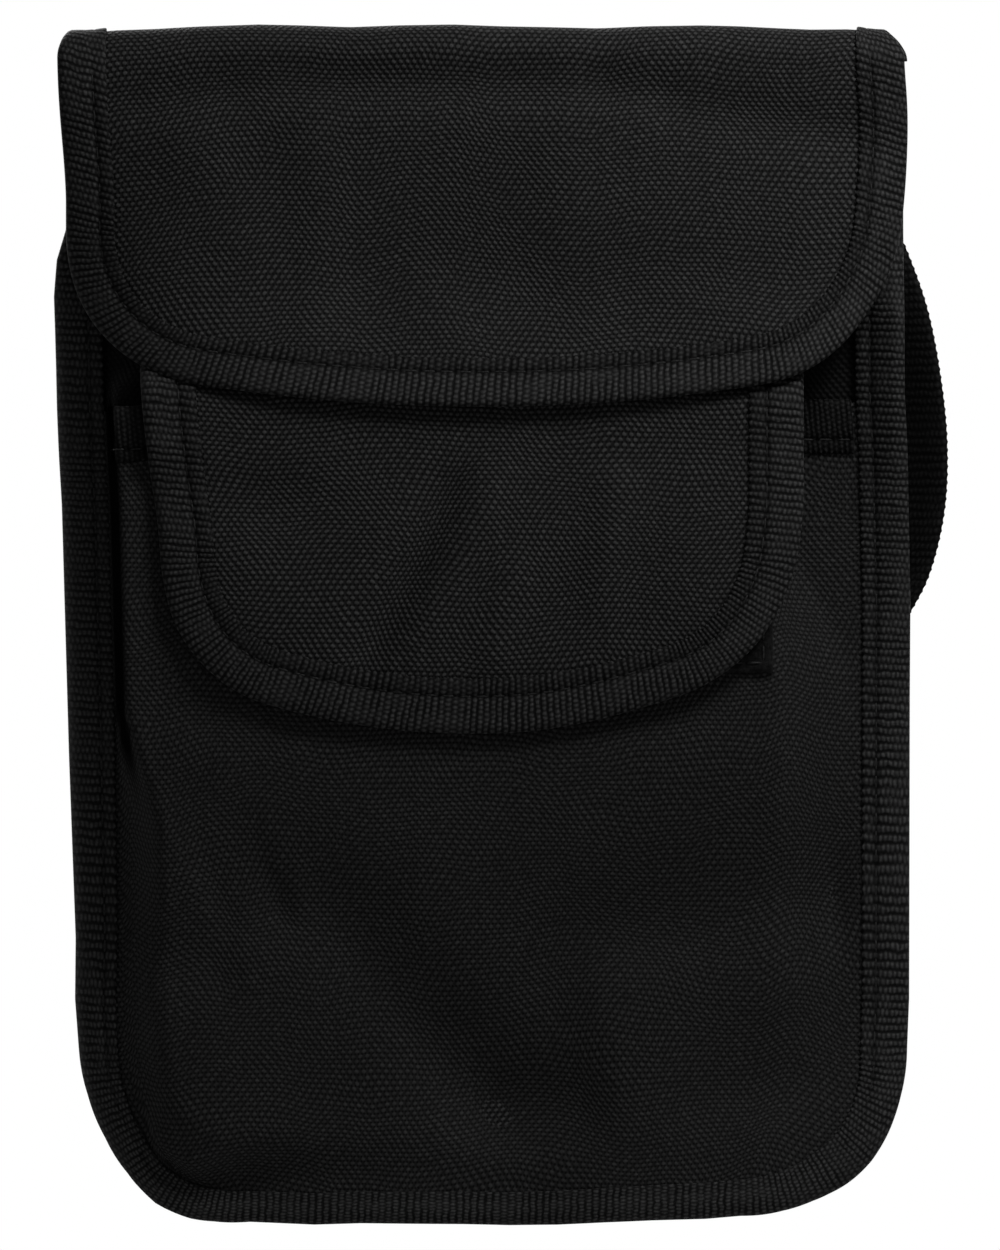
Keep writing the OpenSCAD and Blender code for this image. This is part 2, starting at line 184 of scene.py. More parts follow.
@dataclass(frozen=True)
class Face:
    """A face of a cloth: how pattern points are laid in the frame, its level, and -1 if it looks inwards."""

    place: Place
    level: Level
    side: float = 1.0

    def at(self, x: Numbers, v: Numbers, lift: Numbers | float = 0.0) -> Numbers:
        """Points in metres, lifted off the face."""
        return self.place(x, v, self.level(x, v) + self.side * lift)

    def raised(self, lift: float) -> "Face":
        """The parallel face that lies further out."""
        return Face(self.place, lambda x, v: self.level(x, v) + self.side * lift, self.side)

    def turned(self, thick: float) -> "Face":
        """The other face of a cloth that is so thick."""
        return Face(self.place, self.raised(-thick).level, -self.side)


# Meshes


def linked(name: str, data: bpy.types.ID) -> bpy.types.Object:
    """A new object in the scene.

    Args:
        name: The object's name.
        data: Its mesh, camera or light.

    Returns:
        The object.
    """
    made = bpy.data.objects.new(name, data)
    bpy.context.scene.collection.objects.link(made)
    return made


def mesh_piece(name: str, points: Numbers, faces: list, weave: Numbers) -> bpy.types.Object:
    """Makes a smooth mesh object.

    Args:
        name: The piece's name.
        points: Vertices in metres.
        faces: Vertex numbers of each face.
        weave: Each vertex's place on the flat pattern in millimetres, which the finishes read,
            and a third value, painted shade up to 1 where it lies in a hollow, and down to -1 where it is
            pressed smooth.

    Returns:
        The new object, linked to the scene.
    """
    mesh = bpy.data.meshes.new(name)
    mesh.from_pydata(points.reshape(-1, 3).tolist(), [], faces)
    flat = np.zeros((len(mesh.vertices), 3), np.float32)
    flat[:, : weave.shape[-1]] = weave.reshape(-1, weave.shape[-1])
    mesh.attributes.new("weave", "FLOAT_VECTOR", "POINT").data.foreach_set("vector", flat.ravel())
    shell = bmesh.new()
    shell.from_mesh(mesh)
    bmesh.ops.recalc_face_normals(shell, faces=shell.faces[:])
    shell.to_mesh(mesh)
    shell.free()
    mesh.shade_smooth()
    return linked(name, mesh)


def tube_faces(rings: int, sides: int, start: int = 0) -> list:
    """Quads round a closed tube of rings, with its two end caps.

    Args:
        rings: Number of rings along the tube.
        sides: Number of points in a ring.
        start: Number of the tube's first vertex.

    Returns:
        The faces as lists of vertex numbers.
    """
    ring, side = np.meshgrid(np.arange(rings - 1), np.arange(sides), indexing="ij")
    a = start + ring * sides + side
    b = start + ring * sides + (side + 1) % sides
    quads = np.stack([a, b, b + sides, a + sides], -1).reshape(-1, 4).tolist()
    first = list(range(start + sides - 1, start - 1, -1))
    last_ring = start + (rings - 1) * sides
    return [*quads, first, list(range(last_ring, last_ring + sides))]


def slab_faces(rows: int, columns: int) -> list:
    """Faces of a thin closed slab whose front grid is followed by its back grid.

    Args:
        rows: Rows of points in each grid.
        columns: Points in a row.

    Returns:
        The faces as lists of vertex numbers.
    """
    at = np.arange(rows * columns).reshape(rows, columns)
    front = np.stack([at[:-1, :-1], at[:-1, 1:], at[1:, 1:], at[1:, :-1]], -1).reshape(-1, 4)
    back = front[:, ::-1] + rows * columns
    rim = np.concatenate([at[0], at[1:, -1], at[-1, -2::-1], at[-2:0:-1, 0]])
    after = np.roll(rim, -1)
    lip = np.stack([rim, rim + rows * columns, after + rows * columns, after], -1)
    return np.concatenate([front, back, lip]).tolist()


def painted_steep_shade(stretch: Numbers) -> Numbers:
    """Painted shade on a steep wall, from the extra cloth that a millimetre of pattern takes there."""
    return ramp(stretch, 1.0, 1.2)


def both_faces(face: Face, x: Numbers, v: Numbers, lifts: Sequence[Numbers | float]) -> Numbers:
    """Points of a slab's front grid, followed by those of its back grid, each at its lift off a face."""
    return np.concatenate([face.at(x, v, lift).reshape(-1, 3) for lift in lifts])


def cloth_slab(
    name: str, face: Face, x: Numbers, v: Numbers, thick: float, threads: Threads
) -> bpy.types.Object:
    """A cloth with two faces and a rim.

    Args:
        name: The piece's name.
        face: Its outer face.
        x: Pattern places across, as a grid of rows.
        v: Pattern places up the cloth, as the same grid.
        thick: The cloth's thickness.
        threads: Where the woven pattern lies at pattern places.

    Returns:
        The new object.
    """
    points = both_faces(face, x, v, (0.0, -thick))

    def length(dx: float, dv: float) -> Numbers:
        """Cloth in the frame for a step on the pattern.

        Args:
            dx: The step across.
            dv: The step up the cloth.

        Returns:
            The cloth's lengths in millimetres.
        """
        ends = [(x + side * dx / 2, v + side * dv / 2) for side in (-1, 1)]
        low, high = (face.at(px, pv) for px, pv in ends)
        return np.linalg.norm(high - low, axis=-1) / MM

    across, up = np.zeros_like(x), np.zeros_like(v)
    wide, tall = length(1, 0) - 1, length(0, 1) - 1
    across[:, 1:] = np.cumsum((wide[:, 1:] + wide[:, :-1]) / 2 * np.diff(x, axis=1), 1)
    up[1:] = np.cumsum((tall[1:] + tall[:-1]) / 2 * np.diff(v, axis=0), 0)
    across -= across[:, [x.shape[1] // 2]]
    at_x, at_v = threads(x, v)
    # The third value is painted shade where the cloth runs steeply.
    weave = np.stack([at_x + across, at_v + up, painted_steep_shade(wide)], -1)
    return mesh_piece(name, points, slab_faces(*x.shape), np.tile(weave.reshape(-1, 3), (2, 1)))


# Pattern shapes


@dataclass(frozen=True)
class Edge:
    """An edge of a pattern piece as close points, with the direction into the cloth at each."""

    points: Numbers
    inward: Numbers

    @property
    def run(self) -> Numbers:
        """Distance along the edge at each point."""
        return run_along(self.points)

    @property
    def length(self) -> float:
        """Length of the whole edge."""
        return float(self.run[-1])

    @property
    def area(self) -> float:
        """Area that the edge and the line between its ends enclose."""
        x, v = self.points.T
        return float(abs(np.sum(x * np.roll(v, -1) - v * np.roll(x, -1))) / 2)

    def at(self, s: Numbers, inset: Numbers | float) -> tuple[Numbers, Numbers]:
        """Pattern places along the edge and inside it.

        Args:
            s: Distances along the edge.
            inset: Distances into the cloth.

        Returns:
            The places across and up the cloth.
        """
        run = self.run
        found = [np.interp(s, run, column) for column in (*self.points.T, *self.inward.T)]
        return found[0] + inset * found[2], found[1] + inset * found[3]

    def with_inset(self, inset: float) -> "Edge":
        """The parallel edge a distance inside this one."""
        return Edge(self.points + inset * self.inward, self.inward)


def straight(start: Sequence[float], end: Sequence[float], inward: Sequence[float]) -> Edge:
    """A straight stretch of edge.

    Args:
        start: Where it begins.
        end: Where it ends.
        inward: The direction into the cloth.

    Returns:
        The stretch.
    """
    t = spaced(0.0, 1.0, EDGE_STEP / max(math.dist(start, end), 1e-6))[:, None]
    points = np.asarray(start) * (1 - t) + np.asarray(end) * t
    return Edge(points, np.tile(np.asarray(inward, float), (len(points), 1)))


def arc(centre: Sequence[float], radius: float, first: float, last: float) -> Edge:
    """A round stretch of edge about a centre on its cloth side, between two angles in degrees.

    Args:
        centre: The centre.
        radius: The radius.
        first: Angle where it begins.
        last: Angle where it ends.

    Returns:
        The stretch.
    """
    turn = np.radians(spaced(first, last, math.degrees(EDGE_STEP / radius)))
    out = np.stack([np.cos(turn), np.sin(turn)], -1)
    return Edge(np.asarray(centre) + radius * out, -out)


def joined(parts: Sequence[Edge]) -> Edge:
    """Stretches of edge that follow each other, with their shared points once.

    Args:
        parts: The stretches in order.

    Returns:
        One edge.
    """
    points = np.concatenate([p.points for p in parts])
    inward = np.concatenate([p.inward for p in parts])
    keep = np.concatenate([[True], np.linalg.norm(np.diff(points, axis=0), axis=1) > 1e-6])
    return Edge(points[keep], inward[keep])


@dataclass(frozen=True)
class FlapOutline:
    """Flap with straight sides, round corners and a shallow lower edge that runs into them."""

    half: float
    corner: float
    sweep: float
    low: float
    top: float
    centre: float = 0.0
    middle_gap: float = 0.4

    @property
    def corner_x(self) -> float:
        """Sideways place of the right corner's centre."""
        return self.half - self.corner

    @property
    def sweep_v(self) -> float:
        """Height of the lower edge's centre."""
        return self.sweep - self.low

    @property
    def corner_v(self) -> float:
        """Height of the corners' centres."""
        return self.sweep_v - math.sqrt((self.sweep - self.corner) ** 2 - self.corner_x**2)

    def edge(self) -> Edge:
        """The bound edge, from the top of the left side round to the top of the right.

        Returns:
            The edge.
        """
        lean = math.degrees(math.asin(self.corner_x / (self.sweep - self.corner)))
        x, cx, cv = self.centre, self.corner_x, self.corner_v
        return joined([
            straight((x - self.half, self.top), (x - self.half, cv), (1, 0)),
            arc((x - cx, cv), self.corner, 180, 270 - lean),
            arc((x, self.sweep_v), self.sweep, 270 - lean, 270 + lean),
            arc((x + cx, cv), self.corner, 270 + lean, 360),
            straight((x + self.half, cv), (x + self.half, self.top), (-1, 0)),
        ])

    def grid(self, inset: float, columns: int) -> tuple[Numbers, Numbers]:
        """Rows of pattern points, each between a point of the left edge and its mirror image.

        Args:
            inset: How far the cloth ends inside the bound edge.
            columns: Points in a row.

        Returns:
            The places across and up the cloth, as grids.
        """
        edge = self.edge().with_inset(inset).points
        left = edge[edge[:, 0] < self.centre - self.middle_gap]
        across = np.linspace(-1, 1, columns)
        x = self.centre + (self.centre - left[:, 0])[:, None] * across
        return x, np.repeat(left[:, 1][:, None], columns, 1)


@dataclass(frozen=True)
class Bulge:
    """Soft swelling of the cloth, or a hollow if its rise is negative."""

    x: float
    v: float
    reach_x: float
    reach_v: float
    rise: float

    def height(self, x: Numbers, v: Numbers) -> Numbers:
        """How far the cloth stands out at pattern places."""
        return self.rise * np.exp(-(((x - self.x) / self.reach_x) ** 2) - ((v - self.v) / self.reach_v) ** 2)


@dataclass(frozen=True)
class Crease:
    """Soft ridge of the cloth between two pattern places, or a valley if its rise is negative.

    Its middle may lie aside of the straight line by bow, to the right of the way from start to end, and on
    the left of the way it may reach out further than its half width. It fades out past both ends, where over
    and fade are shares of its length.
    """

    start: tuple[float, float]
    end: tuple[float, float]
    half_width: float
    rise: float
    bow: float = 0.0
    far: float = 0.0
    over: float = 0.3
    fade: float = 0.5

    def height(self, x: Numbers, v: Numbers) -> Numbers:
        """How far the cloth stands out at pattern places.

        Args:
            x: Places across.
            v: Places up the cloth.

        Returns:
            The heights.
        """
        dx, dv = self.end[0] - self.start[0], self.end[1] - self.start[1]
        length = math.hypot(dx, dv)
        along = ((x - self.start[0]) * dx + (v - self.start[1]) * dv) / length**2
        across = ((x - self.start[0]) * dv - (v - self.start[1]) * dx) / length
        across = across - self.bow * (1 - 4 * (np.clip(along, -self.over, 1 + self.over) - 0.5) ** 2)
        ends = ramp(along, -self.over, self.fade) * ramp(-along, -1 - self.over, self.fade)
        reach = np.where(across < 0, self.far or self.half_width, self.half_width)
        return self.rise * np.exp(-((across / reach) ** 2)) * ends


def sculpted(forms: Sequence[Bulge | Crease], x: Numbers, v: Numbers) -> Numbers:
    """Sum of the forms' heights at pattern places."""
    return np.sum([form.height(x, v) for form in forms], axis=0)


def drawn_threads(forms: Sequence[Bulge | Crease]) -> Threads:
    """Where a cloth's woven pattern lies once its folds have drawn the threads aside.

    Args:
        forms: The cloth's folds.

    Returns:
        Function from pattern places to places in the weave.
    """

    def threads(x: Numbers, v: Numbers) -> tuple[Numbers, Numbers]:
        """Places in the weave.

        Args:
            x: Places across.
            v: Places up the cloth.

        Returns:
            Places across and up the weave.
        """
        slope_x = sculpted(forms, x + 0.5, v) - sculpted(forms, x - 0.5, v)
        slope_v = sculpted(forms, x, v + 0.5) - sculpted(forms, x, v - 0.5)
        return x + THREAD_PULL * slope_x, v + THREAD_PULL * slope_v

    return threads


# Finishes


class Bench:
    """A material's nodes, with short calls for those that the finishes share."""

    def __init__(self, name: str) -> None:
        """Starts a material with one shader.

        Args:
            name: The material's name.
        """
        self.material = bpy.data.materials.new(name)
        self.material.use_nodes = True
        self.tree = self.material.node_tree
        self.tree.nodes.clear()
        self.shader = self.node("ShaderNodeBsdfPrincipled")
        self.output = self.node("ShaderNodeOutputMaterial", {"Surface": self.shader.outputs["BSDF"]})

    def node(self, kind: str, inputs: Mapping = MappingProxyType({}), **settings: object) -> bpy.types.Node:
        """A new node.

        Args:
            kind: Blender's name for its type.
            inputs: Values or outputs for its sockets, by name or number.
            settings: Values of its own settings.

        Returns:
            The node.
        """
        made = self.tree.nodes.new(kind)
        for name, value in settings.items():
            setattr(made, name, value)
        self.feed(made, inputs)
        return made

    def feed(self, node: bpy.types.Node, inputs: Mapping) -> None:
        """Links sockets to outputs, or sets their values.

        Args:
            node: The node to feed.
            inputs: Values or outputs for its sockets, by name or number.
        """
        for socket, value in inputs.items():
            if isinstance(value, bpy.types.NodeSocket):
                self.tree.links.new(value, node.inputs[socket])
            else:
                node.inputs[socket].default_value = value

    def math(self, operation: str, *values: object, clamp: bool = False) -> bpy.types.NodeSocket:
        """Output of a math node."""
        fed = dict(enumerate(values))
        return self.node("ShaderNodeMath", fed, operation=operation, use_clamp=clamp).outputs[0]

    def times(self, *values: object) -> bpy.types.NodeSocket:
        """Product of two or more values."""
        return reduce(lambda product, factor: self.math("MULTIPLY", product, factor), values)

    def plus(self, *values: object) -> bpy.types.NodeSocket:
        """Sum of two or more values."""
        return reduce(lambda total, other: self.math("ADD", total, other), values)

    def ranged(self, value: object, *spans: float) -> bpy.types.NodeSocket:
        """Smooth map of a value, from the range of the first two spans to that of the last two."""
        fed = dict(enumerate((value, *spans)))
        return self.node("ShaderNodeMapRange", fed, interpolation_type="SMOOTHSTEP").outputs[0]

    def noise(self, vector: object, scale: float, detail: float = 2.0) -> bpy.types.NodeSocket:
        """Factor of a noise texture."""
        fed = {"Vector": vector, "Scale": scale, "Detail": detail}
        return self.node("ShaderNodeTexNoise", fed).outputs[0]

    def mottle(
        self, vector: object, scale: float, spans: Sequence[float], detail: float = 2.0
    ) -> bpy.types.NodeSocket:
        """Noise that is mapped as ranged does it."""
        return self.ranged(self.noise(vector, scale, detail), *spans)

    def grey_mix(self, factor: object, low: float, high: float) -> bpy.types.NodeSocket:
        """Colour between two greys."""
        fed = {0: factor, 6: (low, low, low, 1.0), 7: (high, high, high, 1.0)}
        return self.node("ShaderNodeMix", fed, data_type="RGBA").outputs[2]

    def pattern(self) -> tuple[bpy.types.NodeSocket, ...]:
        """The pattern vector in millimetres, its places across and up the cloth, and its painted shade where
        it lies in a hollow.
        """
        vector = self.node("ShaderNodeAttribute", attribute_name="weave").outputs["Vector"]
        return vector, *self.node("ShaderNodeSeparateXYZ", {0: vector}).outputs

    def bump(self, height: bpy.types.NodeSocket, distance: float, strength: float) -> None:
        """Feeds the shader's normal with a relief of that depth in metres."""
        fed = {"Height": height, "Distance": distance, "Strength": strength}
        self.feed(self.shader, {"Normal": self.node("ShaderNodeBump", fed).outputs[0]})

    def surface(self, colour: object, roughness: object, specular: object, sheen: float = 0.0) -> None:
        """Sets the shader.

        Args:
            colour: Its colour.
            roughness: Its roughness.
            specular: Its gloss.
            sheen: Its sheen.
        """
        self.feed(self.shader, {
            "Base Color": colour,
            "Roughness": roughness,
            "Specular IOR Level": specular,
            "Sheen Weight": sheen,
            "Sheen Roughness": 0.45,
        })

    def woven_surface(self, shade: object, greys: tuple[float, float], clear_of_painted_shade: object) -> None:
        """Sets the shader for cloth, which loses its gloss where painted shade lies in a hollow."""
        self.surface(self.grey_mix(shade, *greys), WOVEN_ROUGHNESS, self.times(clear_of_painted_shade, WOVEN_GLOSS))


@dataclass(frozen=True)
class PlainWeave:
    """Plain-woven cloth: staggered dots where the cross threads lie on top, with a painted highlight on the
    raised threads and painted shade in the small gaps between.

    In patches the dots run together along one diagonal or the other, as the threads lean in worn cloth.
    """

    name: str
    thread_x: float
    thread_v: float
    dark: float
    bright: float
    relief: float
    sway: float = 4.5
    waver: float = 0.3
    lean: float = 0.75
    ground: float = 0.19

    def material(self) -> bpy.types.Material:
        """Makes the woven material.

        Returns:
            The material.
        """
        bench = Bench(self.name)
        vector, x, v, hollow = bench.pattern()
        clear_of_painted_shade = bench.math("SUBTRACT", 1.0, hollow, clamp=True)
        turn_x = self._turn(bench, vector, x, self.thread_x, (0.027, 0.31))
        turn_v = self._turn(bench, vector, v, self.thread_v, (0.033, 0.37))
        weave, gaps = self._crossings(bench, vector, turn_x, turn_v)
        # Painted highlight on the raised threads and painted shade on the lower ones and in the gaps between.
        painted_thread_light = bench.ranged(weave, -0.4, 0.9, self.ground, 1.0)
        yarn = bench.mottle(vector, 1.1, (0.3, 0.7, 0.6, 1.0))
        worn = bench.mottle(vector, 0.045, (0.3, 0.75, 0.85, 1.0), detail=4.0)
        slubs = bench.mottle(vector, 0.6, (0.3, 0.7, 0.84, 1.05), detail=1.0)
        # Wear and slubs, with painted shade where the cloth lies in a hollow.
        wear_and_painted_shade = bench.times(worn, slubs, clear_of_painted_shade)
        shade = bench.times(painted_thread_light, gaps, yarn, wear_and_painted_shade)
        fibre = bench.times(bench.noise(vector, 6.0), 0.25)
        bench.woven_surface(shade, (self.dark, self.bright), clear_of_painted_shade)
        bench.bump(bench.plus(bench.times(weave, 0.5), fibre), self.relief * MM, 0.85)
        return bench.material

    def _turn(
        self, bench: Bench, vector: object, place: object, thread: float, waves: tuple[float, float]
    ) -> bpy.types.NodeSocket:
        """Angle that grows by half a turn from one thread to the next, on threads that wander.

        Args:
            bench: The material's nodes.
            vector: The pattern vector.
            place: Place across the threads in millimetres.
            thread: Distance from thread to thread.
            waves: Scales of the long sway and the short waver.

        Returns:
            The angle's socket.
        """
        for scale, reach in zip(waves, (self.sway, self.waver)):
            aside = bench.math("SUBTRACT", bench.noise(vector, scale, 2.5), 0.5)
            place = bench.plus(place, bench.times(aside, reach))
        return bench.times(place, math.pi / thread)

    def _crossings(
        self, bench: Bench, vector: object, turn_x: object, turn_v: object
    ) -> tuple[bpy.types.NodeSocket, bpy.types.NodeSocket]:
        """Height of the woven threads, and a share that falls in the gaps between four threads, where the
        colour gets painted shade.

        Args:
            bench: The material's nodes.
            vector: The pattern vector.
            turn_x: Angle across the upright threads.
            turn_v: Angle across the level threads.

        Returns:
            Sockets of the height and of the share.
        """
        rising = bench.math("COSINE", bench.math("SUBTRACT", turn_x, turn_v))
        falling = bench.math("COSINE", bench.plus(turn_x, turn_v))
        lean = bench.mottle(vector, 0.075, (0.34, 0.66, -self.lean, self.lean))
        leant = bench.times(bench.plus(rising, falling), lean)
        crossed = bench.times(bench.plus(bench.math("SUBTRACT", rising, falling), leant), 0.5)
        between_x = bench.math("COSINE", bench.times(turn_x, 2.0))
        between_v = bench.math("COSINE", bench.times(turn_v, 2.0))
        raised_threads = bench.plus(bench.times(between_x, 0.16), bench.times(between_v, -0.32))
        gaps = bench.ranged(bench.plus(between_x, between_v), 0.25, 1.75, 1.0, 0.0)
        return bench.plus(crossed, raised_threads), gaps


@dataclass(frozen=True)
class RibbedTape:
    """Woven tape with a rib across it at every step and beads along each rib, with a painted highlight on
    their crests and painted shade between them and in hollows.
    """

    name: str
    rib: float
    bead: float
    dark: float
    bright: float
    relief: float
    uneven: float = 0.7

    def material(self) -> bpy.types.Material:
        """Makes the ribbed material.

        Returns:
            The material.
        """
        bench = Bench(self.name)
        vector, s, across, hollow = bench.pattern()
        clear_of_painted_shade = bench.math("SUBTRACT", 1.0, hollow, clamp=True)
        relief = bench.math("ADD", 1.0, hollow, clamp=True)
        uneven = bench.times(bench.math("SUBTRACT", bench.noise(vector, 0.55), 0.5), self.uneven)
        turn = bench.plus(bench.math("DIVIDE", s, self.rib), uneven)
        worn = bench.mottle(vector, 0.2, (0.36, 0.6, 0.4, 1.0))
        ridge = bench.times(bench.math("COSINE", bench.times(turn, 2 * math.pi)), worn)
        odd = bench.times(bench.math("FLOOR", bench.plus(turn, 0.5)), math.pi)
        loose = bench.times(bench.noise(vector, 0.8), 4.0)
        bead_turn = bench.plus(bench.times(across, 2 * math.pi / self.bead), odd)
        beads = bench.math("COSINE", bench.plus(bead_turn, loose))
        ribs = bench.plus(bench.times(ridge, 0.65), bench.times(beads, 0.35))
        # Painted highlight on rib and bead crests, painted shade between them and where the tape lies in a
        # hollow.
        ribbed = bench.ranged(bench.times(ridge, relief), -0.9, 0.55, 0.07, 1.0)
        beaded = bench.ranged(bench.times(beads, relief), -1.0, 0.8, 0.3, 1.0)
        yarn = bench.mottle(vector, 1.7, (0.3, 0.7, 0.5, 1.0))
        bench.woven_surface(bench.times(ribbed, beaded, yarn, clear_of_painted_shade), (self.dark, self.bright), clear_of_painted_shade)
        fibre = bench.times(bench.noise(vector, 5.0), 0.3)
        bench.bump(bench.plus(bench.times(ribs, relief, 0.5), fibre), self.relief * MM, 0.7)
        return bench.material


@dataclass(frozen=True)
class Nap:
    """Fuzzy or matt face: a mottled colour over a fine uneven relief."""

    name: str
    grain: float
    dark: float
    bright: float
    relief: float
    roughness: float = 0.8
    specular: float = 0.02
    sheen: float = 0.02

    def material(self) -> bpy.types.Material:
        """Makes the mottled material.

        Returns:
            The material.
        """
        bench = Bench(self.name)
        vector = bench.node("ShaderNodeTexCoord").outputs["Object"]
        fine = bench.noise(vector, self.grain, 3.0)
        broad = bench.mottle(vector, self.grain / 14, (0.2, 0.8, 0.4, 0.6))
        shade = bench.ranged(bench.times(fine, broad), 0.12, 0.42, 0.0, 1.0)
        rough = bench.ranged(broad, 0.3, 0.7, self.roughness - 0.08, self.roughness + 0.06)
        bench.surface(bench.grey_mix(shade, self.dark, self.bright), rough, self.specular, self.sheen)
        bench.bump(fine, self.relief * MM, 0.6)
        return bench.material


class Wardrobe:
    """All finishes, made once."""

    def __init__(self) -> None:
        """Makes the materials."""
        yarns = (0.58, 0.82)
        self.cloth = PlainWeave("black_flap_cloth", *yarns, 0.0015, 0.0385, 0.17).material()
        self.panel = PlainWeave(
            "black_panel_cloth", *yarns, 0.002, 0.0265, 0.14, sway=7.0, ground=0.31
        ).material()
        # The front panel's cloth is a dark copy of the panel cloth: painted shade for the recesses under the
        # main flap.
        self.inner = PlainWeave("black_front_cloth_painted_shade", *yarns, 0.001, 0.008, 0.14, sway=7.0).material()
        self.lining = PlainWeave("black_lining_cloth", 0.34, 0.34, 0.006, 0.016, 0.05).material()
        self.tape = RibbedTape("black_binding_tape", 1.16, 0.8, 0.002, 0.036, 0.1).material()
        # The mouth tape is a dark copy of the binding tape: painted shade for the recesses under the flaps.
        self.mouth_tape = RibbedTape("black_mouth_tape_painted_shade", 1.16, 0.8, 0.0006, 0.0125, 0.16).material()
        # The webbing is darker than the binding tape: painted shade, as the strap bow lies turned away in
        # shade.
        self.webbing = RibbedTape("black_neck_webbing_painted_shade", 1.35, 0.9, 0.0012, 0.0085, 0.12).material()
        self.elastic = RibbedTape("black_tie_elastic", 0.9, 1.2, 0.003, 0.016, 0.12).material()
        self.thread = Nap("black_sewing_thread", 2600.0, 0.004, 0.02, 0.03, 0.5, 0.05, 0.0).material()
        self.loops = Nap("black_loop_pile", 1500.0, 0.001, 0.008, 0.35).material()
        self.hooks = Nap("black_hook_plastic", 1200.0, 0.003, 0.009, 0.03, 0.5, 0.08, 0.0).material()
        self.plastic = Nap("black_slider_plastic", 2200.0, 0.008, 0.016, 0.02, 0.42, 0.25, 0.0).material()


def dress(
    piece: bpy.types.Object,
    material: bpy.types.Material,
    carrier: Body | Bend,
    nodes: Sequence[str] = (),
) -> bpy.types.Object:
    """Gives a piece its finish, its body unless it lies over a bend, and the frame nodes that it stands for.

    Args:
        piece: The finished mesh.
        material: Its finish.
        carrier: The body that it rides on, or the bend between two bodies.
        nodes: Frame nodes that it replaces.

    Returns:
        The same piece.
    """
    piece.data.materials.append(material)
    if isinstance(carrier, Bend):
        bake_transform(piece)
    else:
        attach(piece, carrier.value)
    if nodes:
        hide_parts(*nodes)
    LOG.info("%s: %d vertices", piece.name, len(piece.data.vertices))
    return piece


# Sewing


